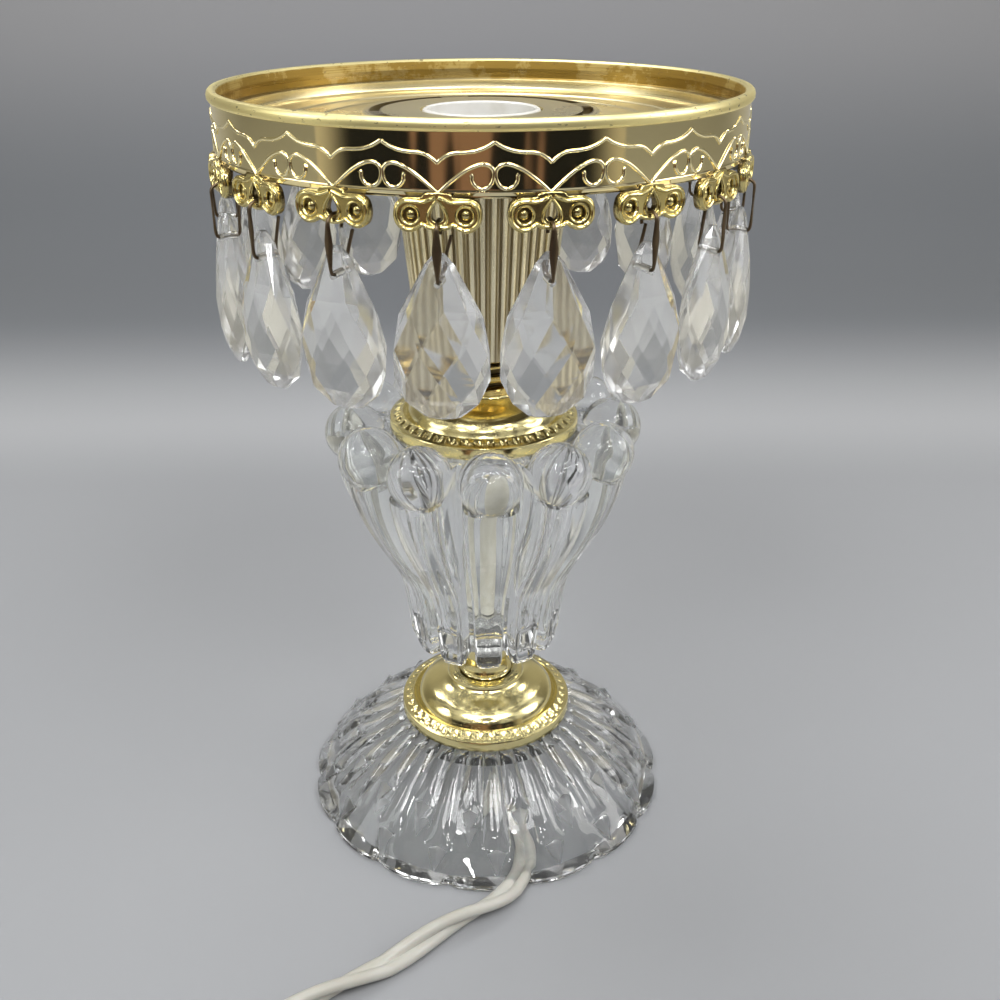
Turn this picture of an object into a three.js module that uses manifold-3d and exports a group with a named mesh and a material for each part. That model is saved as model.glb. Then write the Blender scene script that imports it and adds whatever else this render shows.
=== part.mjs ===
// Boudoir table lamp: a pressed glass base and vase between brass collars, a fluted socket cover
// and a gallery ring hung with teardrop crystals. Millimetres, +Z up, the front faces -Y.
// The origin is on the table, on the lamp's axis.
import * as THREE from 'three';
import { mergeVertices } from 'three/addons/utils/BufferGeometryUtils.js';
import Module from 'manifold-3d';

const wasm = await Module();
wasm.setup();

// Clearances
const seatGap = 0.3;            // between stacked pieces
const boreGap = 0.5;            // round the threaded pipe, radial
const swingGap = 0.4;           // round turning pieces

// Threaded pipe that the whole lamp is clamped on
const pipeRadius = 5;
const pipeBore = 3.6;
const pipeBelowNut = 2.5;
const pipeIntoSocket = 7;

// Base dish
const dishRadius = 59;
const dishHeight = 28;
const dishHub = 5;              // thickness at the centre
const dishWall = 4.2;
const dishScallops = 15;
const scallopDepth = 3.8;
const skirtHeight = 3.4;
const footWidth = 7;
const footRise = 2.5;
const cordNotchWidth = 11;
const cordNotchHeight = 5;
const cordNotchAngle = 9.6;     // degrees from the front
const cordNotchTurn = -26;      // degrees, along the cord's way out

// Collars: two castings from one mould
const collarRadius = 28;
const collarHeight = 12.3;
const collarRim = 2.3;
const collarBand = 4.8;         // height of the beaded band
const collarDome = 22.6;
const collarNeck = 12.3;
const collarWall = 2.4;
const collarBoss = 8.5;

// Spindle and gasket between the lower collar and the vase
const spindleHeight = 16.3;
const spindleRadius = 8.6;
const spindleWaist = 6.8;
const spindleFlange = 2;
const gasketRadius = 9.4;
const gasketThickness = 1.5;

// Glass vase
const vaseHeight = 70.7;        // from the underside of its floor to its top edge
const vaseFloor = 5.5;
const vaseTop = 31;
const vaseTopBore = 26;
const vaseFoot = 19;
const vaseFootBore = 15;
const ribCount = 12;
const ribDepth = 5;
const ribHalfAngle = 12.5;      // degrees
const ribDrop = 3;              // the ribs reach this far below the floor
const ballRadius = 9;
const ballCircle = 38.5;
const ballBelowTop = 2;
const vaseTurn = 2.5;           // degrees

// Nuts
const nutAcrossFlats = 16;
const nutHeight = 5;

// Sleeve over the pipe inside the vase
const sleeveWall = 1.2;

// Neck rings above the upper collar
const neckHeight = 11.9;
const neckRadius = 12.6;
const neckGroove = 1.8;
const neckRings = 3;

// Fluted socket cover
const coverHeight = 62.3;
const coverFoot = 19;
const coverTop = 25.1;
const coverWall = 1.2;
const coverFloor = 1.5;
const coverFlutes = 48;
const coverFluteDepth = 0.5;

// Socket
const socketHeight = 62.9;
const socketRadius = 15.8;
const socketBore = 14.2;
const socketFloor = 13;
const wellRadius = 9.2;
const shellWall = 0.6;
const shellHeight = 32;
const shellBelowRim = 4.5;
const shellLip = 4;
const contactRadius = 5;
const contactHeight = 9.5;

// Gallery ring
const galleryRadius = 70;
const galleryLip = 0.6;
const lipHeight = 1.6;
const galleryWall = 2;
const galleryFloor = 1.8;
const galleryRise = 8.9;        // rim above the floor's top
const galleryDrop = 5.7;        // band below the floor's underside
const ledgeHeight = 3.1;
const ledgeWidth = 1.6;
const hubRadius = 31.5;
const hubRise = 2.2;
const hubHoleGap = 0.5;
const ventWidth = 2.6;
const ventCount = 4;
const ventBridge = 16;          // degrees of floor left between vents

// Drop hangers on the band
const dropCount = 18;
const firstDropAngle = 12.2;    // degrees from the front
const lobeWidth = 18.9;
const lobeEye = 3.5;
const lobeThickness = 1.6;
const lobeProud = 0.7;          // of the band's outside
const lobeNeck = 2.9;           // half width where a lobe joins the band
const lobeOverlap = 2.6;        // height of that joint
const eyeBelowBand = 3.3;
const pinHole = 1.3;
const pinHolePoint = 3.4;
const pinHoleBelowEyes = 1.3;
const wireRadius = 0.45;
const pinWidth = 6.2;
const pinLength = 13.2;
const pinBend = 1.2;
const pinOpening = 3;

// Crystal drops
const dropWidth = 22.4;
const dropHeight = 38.5;
const dropThickness = 9.6;
const dropHoleBelowTop = 6.2;
const dropHole = 1.2;
const dropSides = 8;

// Cord: a flat twin flex
const cordWidth = 7;
const cordThickness = 3.6;
const coilX = -25;
const coilY = -200;
const coilRadius = 38.5;
const coilColumns = 2;
const coilLayers = 3;

// Switch on the cord
const switchLength = 46;
const switchWidth = 22;
const switchHeight = 12;
const switchX = -67.2;
const switchY = -147;
const wheelRadius = 9;
const wheelThickness = 3.4;
const wheelProud = 2.6;
const axleRadius = 1.2;

// Plug
const plugLength = 27;
const plugWidth = 21;
const plugHeight = 13;
const bladeLength = 16;
const bladeThickness = 1.5;
const bladeNarrow = 6.3;
const bladeWide = 7.9;
const bladeSpacing = 12.7;
const plugOnCoil = 45;          // degrees round the coil

// Heights, from the table up
const lowerCollarZ = dishHeight + seatGap;
const spindleZ = lowerCollarZ + collarHeight + seatGap;
const gasketZ = spindleZ + spindleHeight + seatGap;
const vaseZ = gasketZ + gasketThickness + seatGap;
const upperCollarZ = vaseZ + vaseHeight + seatGap;
const neckZ = upperCollarZ + collarHeight + seatGap;
const coverZ = neckZ + neckHeight + seatGap;
const hubUnderZ = coverZ + coverHeight + seatGap;
const floorUnderZ = hubUnderZ - hubRise;
const floorTopZ = floorUnderZ + galleryFloor;
const rimZ = floorTopZ + galleryRise;
const bandZ = floorUnderZ - galleryDrop;
const socketZ = coverZ + coverFloor + seatGap;
const baseNutZ = dishHeight - dishHub - seatGap - nutHeight;
const vaseNutZ = vaseZ + vaseFloor + seatGap;
const sleeveZ = vaseNutZ + nutHeight + seatGap;
const pipeZ = baseNutZ - pipeBelowNut;
const pinTopZ = bandZ - eyeBelowBand - pinHoleBelowEyes;
const pinBottomZ = pinTopZ - pinLength;
const dropTopZ = pinBottomZ + dropHoleBelowTop;

// Radii that follow
const bore = pipeRadius + boreGap;
const bandRadius = galleryRadius - galleryLip;
const bandInside = bandRadius - galleryWall;
const lobeCircle = bandRadius + lobeProud - lobeThickness / 2;
const shellRadius = socketBore - seatGap;
const coilTopZ = coilLayers * cordWidth;
const wheelOffset = switchWidth / 2 + wheelProud - wheelRadius;

const finish = {
  glass: [0xe6ebec, 0.04, 0],
  gold: [0xd9cb8a, 0.15, 1],
  brass: [0xcdb25a, 0.22, 1],
  bronze: [0x5b4a2c, 0.45, 1],
  steel: [0xa9abad, 0.35, 1],
  rubber: [0x1c1b1a, 0.75, 0],
  sleeve: [0xdcd8c2, 0.6, 0],
  porcelain: [0xf1efe8, 0.25, 0],
  aluminium: [0xc9cbcd, 0.3, 1],
  ivory: [0xeceae0, 0.45, 0],
  crystal: [0xeef1f3, 0.05, 0],
};
const materials = {};
for (const [name, [color, roughness, metalness]] of Object.entries(finish)) {
  materials[name] = new THREE.MeshStandardMaterial({ color, roughness, metalness });
}

const lamp = new THREE.Group();
const rad = THREE.MathUtils.degToRad;

function bare(geometry) {
  const g = geometry.clone();
  for (const name of Object.keys(g.attributes)) {
    if (name !== 'position') g.deleteAttribute(name);
  }
  return mergeVertices(g, 1e-4);
}

// Faces point outwards when the signed volume is positive.
function outward(geometry) {
  const g = bare(geometry);
  const p = g.attributes.position;
  const index = Array.from(g.index.array);
  const [a, b, c] = [new THREE.Vector3(), new THREE.Vector3(), new THREE.Vector3()];
  let volume = 0;
  for (let i = 0; i < index.length; i += 3) {
    a.fromBufferAttribute(p, index[i]);
    b.fromBufferAttribute(p, index[i + 1]);
    c.fromBufferAttribute(p, index[i + 2]);
    volume += a.dot(b.cross(c));
  }
  if (volume < 0) {
    for (let i = 0; i < index.length; i += 3) {
      [index[i], index[i + 1]] = [index[i + 1], index[i]];
    }
    g.setIndex(index);
  }
  return g;
}

function toSolid(geometry) {
  const g = outward(geometry);
  return new wasm.Manifold(new wasm.Mesh({
    numProp: 3,
    vertProperties: new Float32Array(g.attributes.position.array),
    triVerts: new Uint32Array(g.index.array),
  }));
}

function toGeometry(solid) {
  const mesh = solid.getMesh();
  const g = new THREE.BufferGeometry();
  g.setAttribute('position', new THREE.BufferAttribute(new Float32Array(mesh.vertProperties), 3));
  g.setIndex(new THREE.BufferAttribute(new Uint32Array(mesh.triVerts), 1));
  return g;
}

function add(name, geometry, material, parent = lamp) {
  const g = outward(geometry).toNonIndexed();
  g.computeVertexNormals();
  const mesh = new THREE.Mesh(g, materials[material]);
  mesh.name = name;
  parent.add(mesh);
}

// A turned piece about +Z from [radius, height] points that close on themselves.
function turned(points, segments) {
  const outline = [...points, points[0]].map(([r, z]) => new THREE.Vector2(r, z));
  return new THREE.LatheGeometry(outline, segments).rotateX(Math.PI / 2);
}

function rod(radius, z0, z1, segments) {
  return new THREE.CylinderGeometry(radius, radius, z1 - z0, segments)
    .rotateX(Math.PI / 2).translate(0, 0, (z0 + z1) / 2);
}

function tube(outer, inner, z0, z1, segments) {
  return turned([[inner, z0], [outer, z0], [outer, z1], [inner, z1]], segments);
}

// Gives each point at (radius, height, angle from the front) a new radius.
function reshape(geometry, rule) {
  const g = bare(geometry);
  const p = g.attributes.position;
  for (let i = 0; i < p.count; i += 1) {
    const angle = Math.atan2(p.getX(i), -p.getY(i));
    const r = rule(Math.hypot(p.getX(i), p.getY(i)), p.getZ(i), angle);
    p.setXYZ(i, r * Math.sin(angle), -r * Math.cos(angle), p.getZ(i));
  }
  return g;
}

// A route whose steps fall on its own corner points.
class Corners extends THREE.Curve {
  constructor(points) {
    super();
    this.points = points.map((p) => new THREE.Vector3(...p));
  }

  getPoint(t, target = new THREE.Vector3()) {
    const at = THREE.MathUtils.clamp(t, 0, 1) * (this.points.length - 1);
    const i = Math.min(Math.floor(at), this.points.length - 2);
    return target.lerpVectors(this.points[i], this.points[i + 1], at - i);
  }

  getPointAt(u, target) {
    return this.getPoint(u, target);
  }

  getTangentAt(u, target) {
    return this.getTangent(u, target);
  }
}

function sweep(points, section) {
  return new THREE.ExtrudeGeometry(section, {
    steps: points.length - 1, curveSegments: 3, extrudePath: new Corners(points),
  });
}

// The base dish: a shallow dome on a foot, hollow underneath, with a scalloped edge.
function baseDish() {
  const h = dishHeight;
  const run = dishRadius - collarRadius;
  const fall = h - skirtHeight;
  const slope = [[0.08, 0.965], [0.3, 0.785], [0.55, 0.535], [0.8, 0.25]];
  const points = [[bore, h], [collarRadius - 1, h]];
  for (const [x, z] of slope) points.push([collarRadius + x * run, skirtHeight + z * fall]);
  points.push([dishRadius, skirtHeight], [dishRadius, 0.35 * skirtHeight], [dishRadius - 1, 0]);
  points.push([dishRadius - footWidth, 0], [dishRadius - footWidth - 1, footRise]);
  for (const [x, z] of slope.slice(1, 3).reverse()) {
    points.push([collarRadius + x * run - 0.5 * dishWall, skirtHeight + z * fall - dishWall]);
  }
  points.push([collarRadius - dishWall, h - dishHub], [bore, h - dishHub]);
  const outerStart = collarRadius + 0.7 * run;
  const dish = reshape(turned(points, 4 * dishScallops), (r, z, angle) => {
    const edge = THREE.MathUtils.clamp((r - outerStart) / (dishRadius - outerStart), 0, 1);
    return r - scallopDepth * edge * (1 - Math.abs(Math.cos(angle * dishScallops / 2)) ** 0.8);
  });
  const length = 2 * (footWidth + scallopDepth);
  const notch = new THREE.BoxGeometry(cordNotchWidth, length, 2 * cordNotchHeight)
    .rotateZ(rad(cordNotchTurn)).translate(0, -dishRadius + footWidth / 2, 0)
    .rotateZ(rad(cordNotchAngle));
  return toGeometry(toSolid(dish).subtract(toSolid(notch)));
}

// A collar: rim, beaded band, dome and neck ring round a central boss.
function collar(z0) {
  const h = collarHeight;
  const dome = collarDome - collarNeck;
  const rise = h - collarBand;
  const under = h - collarWall;
  return turned([
    [bore, 0], [collarBoss, 0], [collarBoss, under], [collarNeck - 1, under],
    [collarNeck + 0.55 * dome, collarBand + 0.7 * rise - collarWall],
    [collarDome - collarWall, collarBand - 0.5 * collarWall],
    [collarDome - 0.5 * collarWall, 0], [collarRadius, 0], [collarRadius, collarRim],
    [collarRadius - 0.8, collarRim + 0.9], [collarDome + 1.6, collarBand], [collarDome, collarBand],
    [collarNeck + 0.96 * dome, collarBand + 0.3 * rise],
    [collarNeck + 0.8 * dome, collarBand + 0.56 * rise],
    [collarNeck + 0.45 * dome, collarBand + 0.77 * rise],
    [collarNeck, collarBand + 0.9 * rise], [collarNeck, h], [bore, h],
  ], 28).translate(0, 0, z0);
}

function spindle() {
  const h = spindleHeight;
  const f = spindleFlange;
  return turned([
    [bore, 0], [spindleRadius, 0], [spindleRadius, f], [spindleWaist, 2 * f],
    [spindleWaist, h - 2 * f], [spindleRadius, h - f], [spindleRadius, h], [bore, h],
  ], 24).translate(0, 0, spindleZ);
}

// A turned piece whose [radius, height] points change with the angle from the front.
function turnedBy(pointsAt, segments) {
  const count = pointsAt(0).length;
  const g = turned(pointsAt(0), segments);
  for (let i = 0; i <= segments; i += 1) {
    const angle = (2 * Math.PI * (i % segments)) / segments;
    const points = pointsAt(angle);
    for (let j = 0; j <= count; j += 1) {
      const [r, z] = points[j % count];
      g.attributes.position.setXYZ(i * (count + 1) + j, r * Math.sin(angle), -r * Math.cos(angle), z);
    }
  }
  return g;
}

// The vase: a flared cup whose wall carries ribs, each ending in a ball at the top edge.
function vase() {
  const h = vaseHeight;
  const ballZ = h - ballBelowTop;
  const flare = vaseTop - vaseFoot;
  const reach = ballCircle + 0.58 * ballRadius - vaseFoot - ribDepth;
  const levels = [
    [0.02, 0, 0], [0.13, 0, 0.05], [0.25, 0.09, 0.07], [0.34, 0.22, 0.16],
    [0.44, 0.42, 0.38], [0.64, 0.83, 0.735], [0.785, 1, 1],
  ];
  const inside = vaseTopBore - vaseFootBore;
  const pitch = (2 * Math.PI) / ribCount;
  return turnedBy((angle) => {
    const off = Math.abs(angle - pitch * Math.round(angle / pitch));
    const crown = Math.sqrt(Math.max(0, 1 - (off / rad(ribHalfAngle)) ** 2));
    const wall = levels.map(([z, web, rib]) => {
      const low = vaseFoot + web * flare;
      return [low + crown * (vaseFoot + ribDepth + rib * reach - low), z * h];
    });
    const [foot] = wall[0];
    const tip = (t) => [vaseFootBore + t * (foot - vaseFootBore), 1.2 * t - crown * ribDrop * (1 - t * t)];
    const side = ballCircle * Math.sin(off);
    const top = [[vaseTop, h]];
    if (side < 0.95 * ballRadius) {
      const r = Math.sqrt(ballRadius ** 2 - side ** 2);
      top.length = 0;
      for (const turn of [-60, -18, 26, 70, 118]) {
        top.push([ballCircle * Math.cos(off) + r * Math.cos(rad(turn)), ballZ + r * Math.sin(rad(turn))]);
      }
      top.push([ballCircle * Math.cos(off) - Math.sqrt(r ** 2 - ballBelowTop ** 2), h]);
    } else {
      for (const z of [0.97, 0.94, 0.91, 0.88, 0.85]) top.unshift([vaseTop, z * h]);
    }
    return [
      [bore, 0], [vaseFootBore - 1, 0], tip(0.35), tip(0.8), ...wall, ...top, [vaseTopBore, h],
      [vaseFootBore + 0.64 * inside, 0.72 * h], [vaseFootBore + 0.18 * inside, 0.44 * h],
      [vaseFootBore, 0.1 * h], [vaseFootBore, vaseFloor], [bore, vaseFloor],
    ];
  }, 6 * ribCount).rotateZ(rad(vaseTurn)).translate(0, 0, vaseZ);
}

function nut(z0) {
  const corner = nutAcrossFlats / Math.sqrt(3);
  const hole = rod(pipeRadius + seatGap, z0 - 1, z0 + nutHeight + 1, 16);
  return toGeometry(toSolid(rod(corner, z0, z0 + nutHeight, 6)).subtract(toSolid(hole)));
}

function neck() {
  const step = neckHeight / neckRings;
  const outline = [[bore, 0]];
  for (let i = 0; i < neckRings; i += 1) {
    const r = neckRadius - 0.5 * i;
    outline.push([r, i * step], [r, (i + 0.6) * step]);
    outline.push([r - neckGroove, (i + 0.7) * step], [r - neckGroove, (i + 1) * step]);
  }
  outline.push([bore, neckHeight]);
  return turned(outline, 20).translate(0, 0, neckZ);
}

// The fluted cover: a flared cup with a hole in its floor for the pipe.
function cover() {
  const h = coverHeight;
  const flare = (coverTop - coverFoot) / h;
  const skin = new THREE.CylinderGeometry(coverTop, coverFoot, h, 2 * coverFlutes)
    .rotateX(Math.PI / 2).translate(0, 0, h / 2);
  const fluted = reshape(skin, (r, z, angle) => {
    const valley = Math.round((angle * coverFlutes) / Math.PI) % 2 !== 0;
    return r < 1 ? r : r - (valley ? coverFluteDepth : 0);
  });
  const inset = coverWall + coverFluteDepth;
  const room = turned([
    [0, coverFloor], [coverFoot + flare * coverFloor - inset, coverFloor],
    [coverTop - inset, h], [coverTop - inset, 2 * h], [0, 2 * h],
  ], 32);
  const solid = toSolid(fluted).subtract(toSolid(room)).subtract(toSolid(rod(bore, -1, h, 24)));
  return toGeometry(solid).translate(0, 0, coverZ);
}

function socketBody() {
  const h = socketHeight;
  const ledge = h - shellBelowRim - shellHeight - seatGap;
  const floor = pipeIntoSocket + socketFloor;
  return turned([
    [bore, 0], [0.75 * socketRadius, 0], [0.96 * socketRadius, 0.14 * h], [socketRadius, 0.35 * h],
    [socketRadius, h], [socketBore, h], [socketBore, ledge], [wellRadius, ledge],
    [wellRadius, floor], [pipeBore, floor], [pipeBore, pipeIntoSocket + seatGap],
    [bore, pipeIntoSocket + seatGap],
  ], 24).translate(0, 0, socketZ);
}

function screwShell() {
  const z1 = socketZ + socketHeight - shellBelowRim;
  const z0 = z1 - shellHeight;
  const hole = shellRadius - shellLip;
  return turned([
    [hole, z0], [shellRadius, z0], [shellRadius, z1], [shellRadius - shellWall, z1],
    [shellRadius - shellWall, z0 + shellWall], [hole, z0 + shellWall],
  ], 24);
}

function centreContact() {
  const z0 = socketZ + pipeIntoSocket + socketFloor + seatGap;
  const r = contactRadius;
  return turned([
    [0, z0], [r, z0], [r, z0 + 1.2], [0.5 * r, z0 + 1.8],
    [0.5 * r, z0 + contactHeight - 1], [0.3 * r, z0 + contactHeight], [0, z0 + contactHeight],
  ], 16);
}

function dropAngle(i) {
  return firstDropAngle + (360 / dropCount) * i;
}

// One hanger lobe: two eyes and a pointed hole, hung from the band's lower edge by its neck.
function lobe() {
  const x = lobeWidth / 2 - lobeEye;
  const low = -eyeBelowBand - pinHoleBelowEyes;
  const shape = new THREE.Shape();
  shape.moveTo(lobeNeck, lobeOverlap);
  shape.lineTo(-lobeNeck, lobeOverlap);
  shape.lineTo(-lobeNeck, 0);
  shape.absarc(-x, -eyeBelowBand, lobeEye, 0.5 * Math.PI, 1.7 * Math.PI, false);
  shape.lineTo(0, low - pinHole - 1);
  shape.absarc(x, -eyeBelowBand, lobeEye, 1.3 * Math.PI, 2.5 * Math.PI, false);
  shape.lineTo(lobeNeck, 0);
  const hole = new THREE.Path();
  hole.moveTo(pinHole, low);
  hole.lineTo(0, low + pinHolePoint);
  hole.lineTo(-pinHole, low);
  hole.absarc(0, low, pinHole, Math.PI, 2 * Math.PI, false);
  shape.holes.push(hole);
  return new THREE.ExtrudeGeometry(shape, {
    depth: lobeThickness, bevelEnabled: false, curveSegments: 2,
  }).rotateX(Math.PI / 2).translate(0, -lobeCircle + lobeThickness / 2, bandZ);
}

// One curved vent through the raised middle of the gallery's floor.
function vent() {
  const half = rad(180 / ventCount - ventBridge / 2);
  const outer = hubRadius - galleryFloor - seatGap;
  const shape = new THREE.Shape();
  shape.absarc(0, 0, outer, -half, half, false);
  shape.absarc(0, 0, outer - ventWidth, half, -half, true);
  return new THREE.ExtrudeGeometry(shape, {
    depth: 4 * galleryFloor, bevelEnabled: false, curveSegments: 4,
  }).translate(0, 0, floorUnderZ);
}

function galleryRing() {
  const hubHole = socketRadius + hubHoleGap;
  const ring = turned([
    [hubHole, hubUnderZ], [hubRadius - galleryFloor, hubUnderZ], [hubRadius, floorUnderZ],
    [bandInside, floorUnderZ], [bandInside, bandZ], [bandRadius, bandZ],
    [bandRadius, rimZ - lipHeight], [galleryRadius, rimZ - lipHeight + galleryLip],
    [galleryRadius, rimZ], [bandInside, rimZ], [bandInside, floorTopZ + ledgeHeight],
    [bandInside - ledgeWidth, floorTopZ + ledgeHeight], [bandInside - ledgeWidth, floorTopZ],
    [hubRadius, floorTopZ], [hubRadius - 0.4, floorTopZ + hubRise], [hubHole, floorTopZ + hubRise],
  ], 2 * dropCount).rotateZ(rad(firstDropAngle));
  let solid = toSolid(ring);
  const slot = toSolid(vent());
  for (let i = 0; i < ventCount; i += 1) {
    solid = solid.subtract(slot.rotate([0, 0, (360 / ventCount) * i]));
  }
  const one = toSolid(lobe());
  for (let i = 0; i < dropCount; i += 1) solid = solid.add(one.rotate([0, 0, dropAngle(i)]));
  return toGeometry(solid);
}

// A bent wire through a lobe's hole and a drop's hole, open at the back near the top.
function pin() {
  const w = pinWidth / 2;
  const b = pinBend;
  const corners = [
    [-w, pinTopZ - b - pinOpening], [-w, pinBottomZ + b], [-w + b, pinBottomZ],
    [w - b, pinBottomZ], [w, pinBottomZ + b], [w, pinTopZ - b], [w - b, pinTopZ],
    [-w + b, pinTopZ], [-w, pinTopZ - b],
  ];
  const section = new THREE.Shape();
  section.absarc(0, 0, wireRadius, 0, 2 * Math.PI);
  return sweep(corners.map(([r, z]) => [0, -lobeCircle - r, z]), section);
}

function drop() {
  const outline = [
    [0, 0], [0.23, 0.045], [0.4, 0.13], [0.5, 0.3], [0.49, 0.47], [0.36, 0.71], [0.21, 0.84], [0, 1],
  ].map(([r, z]) => new THREE.Vector2(r * dropWidth, (z - 1) * dropHeight));
  const body = new THREE.LatheGeometry(outline, dropSides).rotateX(Math.PI / 2)
    .scale(1, dropThickness / dropWidth, 1).translate(0, -lobeCircle, dropTopZ);
  const hole = new THREE.CylinderGeometry(dropHole, dropHole, dropThickness, 8)
    .translate(0, -lobeCircle, pinBottomZ);
  return toGeometry(toSolid(body).subtract(toSolid(hole)));
}

// The flat flex along a hand-chosen route.
function flex(points) {
  const path = new THREE.CatmullRomCurve3(
    points.map((p) => new THREE.Vector3(...p)), false, 'centripetal',
  );
  const section = new THREE.Shape();
  section.absellipse(0, 0, cordWidth / 2, cordThickness / 2, 0, 2 * Math.PI);
  const steps = Math.ceil(path.getLength() / cordWidth);
  return new THREE.ExtrudeGeometry(section, { steps, curveSegments: 4, extrudePath: path });
}

// The coil, as the ring that its turns fill.
function coil() {
  const half = (coilColumns * cordWidth) / 2;
  const c = cordWidth / 4;
  const [r0, r1] = [coilRadius - half, coilRadius + half];
  return turned([
    [r0 + c, 0.1], [r1 - c, 0.1], [r1, c], [r1, coilTopZ - c],
    [r1 - c, coilTopZ], [r0 + c, coilTopZ], [r0, coilTopZ - c], [r0, c],
  ], 32).translate(coilX, coilY, 0);
}

// A block with round corners that lies on z = 0, long along Y.
function block(shape, height) {
  return new THREE.ExtrudeGeometry(shape, {
    depth: height - 2, bevelThickness: 1, bevelSize: 1, bevelOffset: -1, bevelSegments: 1,
    curveSegments: 3,
  }).translate(0, 0, 1);
}

function switchBody() {
  const [w, l, c] = [switchWidth / 2, switchLength / 2, 6];
  const shape = new THREE.Shape();
  shape.absarc(w - c, l - c, c, 0, 0.5 * Math.PI, false);
  shape.absarc(-w + c, l - c, c, 0.5 * Math.PI, Math.PI, false);
  shape.absarc(-w + c, -l + c, c, Math.PI, 1.5 * Math.PI, false);
  shape.absarc(w - c, -l + c, c, 1.5 * Math.PI, 2 * Math.PI, false);
  const room = wheelRadius + swingGap;
  const slot = new THREE.BoxGeometry(2 * switchWidth, 2 * room, wheelThickness + 2 * swingGap)
    .translate(wheelOffset - room + switchWidth, 0, switchHeight / 2);
  const axle = rod(axleRadius, 1, switchHeight - 1, 12).translate(wheelOffset, 0, 0);
  const solid = toSolid(block(shape, switchHeight)).subtract(toSolid(slot)).add(toSolid(axle));
  return toGeometry(solid).translate(switchX, switchY, 0);
}

function switchWheel() {
  const z0 = (switchHeight - wheelThickness) / 2;
  return tube(wheelRadius, axleRadius + swingGap, z0, z0 + wheelThickness, 20)
    .translate(switchX + wheelOffset, switchY, 0);
}

function plugBody() {
  const [w, l] = [plugWidth / 2, plugLength / 2];
  const shape = new THREE.Shape();
  shape.moveTo(w, l);
  shape.lineTo(-w, l);
  shape.lineTo(-w, -0.2 * l);
  shape.lineTo(-0.5 * w, -l);
  shape.lineTo(0.5 * w, -l);
  shape.lineTo(w, -0.2 * l);
  return block(shape, plugHeight);
}

function blade(side, width) {
  const y = plugLength / 2 + seatGap + bladeLength / 2;
  return new THREE.BoxGeometry(bladeThickness, bladeLength, width)
    .translate((side * bladeSpacing) / 2, y, plugHeight / 2);
}

// The base and what is clamped on the pipe
add('base_dish', baseDish(), 'glass');
add('base_nut', nut(baseNutZ), 'steel');
add('threaded_pipe', tube(pipeRadius, pipeBore, pipeZ, socketZ + pipeIntoSocket, 20), 'steel');
add('lower_collar', collar(lowerCollarZ), 'brass');
add('lower_spindle', spindle(), 'brass');
add('vase_gasket', tube(gasketRadius, bore, gasketZ, gasketZ + gasketThickness, 24), 'rubber');
add('glass_vase', vase(), 'glass');
add('vase_nut', nut(vaseNutZ), 'steel');
add('rod_sleeve', tube(bore + sleeveWall, bore, sleeveZ, upperCollarZ - seatGap, 20), 'sleeve');
add('upper_collar', collar(upperCollarZ), 'brass');
add('upper_neck', neck(), 'brass');
add('fluted_cover', cover(), 'gold');
add('socket_body', socketBody(), 'porcelain');
add('screw_shell', screwShell(), 'aluminium');
add('centre_contact', centreContact(), 'brass');
add('gallery_ring', galleryRing(), 'gold');

// The crystals, each on its own pin
for (let i = 0; i < dropCount; i += 1) {
  const place = new THREE.Group();
  place.rotation.z = rad(dropAngle(i));
  lamp.add(place);
  const number = String(i + 1).padStart(2, '0');
  add(`drop_pin_${number}`, pin(), 'bronze', place);
  add(`crystal_drop_${number}`, drop(), 'crystal', place);
}

// The cord's route over the table, chosen by hand
const lie = cordThickness / 2 + 0.1;
const entry = 4.6;
add('cord_to_switch', flex([
  [0, 0, pipeZ - seatGap], [0, -1, 9.6], [0, -4, 5], [0.6, -9, 2.5], [2.6, -16, lie],
  [6.4, -25, lie], [10.2, -34, lie], [12, -43, lie], [11, -51, lie], [9.4, -55.6, lie],
  [6.2, -61, lie], [0.9, -66.2, lie], [-11, -74.3, lie], [-24.8, -84.8, lie],
  [-35.5, -91.6, lie], [-45.5, -97.8, lie], [-54, -103.8, lie], [-60.6, -109.6, 2.4],
  [-65.3, -115.6, 3.4], [switchX, -120.8, 4.2], [switchX, switchY + switchLength / 2 + seatGap, entry],
]), 'ivory');
add('switch_body', switchBody(), 'ivory');
add('switch_wheel', switchWheel(), 'ivory');
const offSwitch = switchY - switchLength / 2 - seatGap;
add('cord_to_coil', flex([[switchX, offSwitch, entry], [switchX, -175.6, entry - 0.6]]), 'ivory');
add('cord_coil', coil(), 'ivory');

// The plug lies on the coil
const plug = new THREE.Group();
plug.position.set(
  coilX + coilRadius * Math.cos(rad(plugOnCoil)),
  coilY + coilRadius * Math.sin(rad(plugOnCoil)),
  coilTopZ + seatGap,
);
plug.rotation.z = rad(plugOnCoil);
lamp.add(plug);
add('plug_body', plugBody(), 'ivory', plug);
add('plug_blade_wide', blade(-1, bladeWide), 'brass', plug);
add('plug_blade_narrow', blade(1, bladeNarrow), 'brass', plug);

export default lamp;
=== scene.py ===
# %% [markdown]
# # A boudoir table lamp
# The lamp is a stack of parts on one threaded pipe: a pressed glass dish, a brass collar, a glass vase with
# twelve ball-headed ribs, a second collar, a fluted socket cover and a gilt gallery ring. Eighteen crystals
# hang from the ring on bent wire pins. The measured model is loaded first and stays where it is, and most
# pieces made here take the place of one of its solids.

# %% The measured model
import math

import bmesh
import bpy
from mathutils import Matrix, Vector


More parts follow.
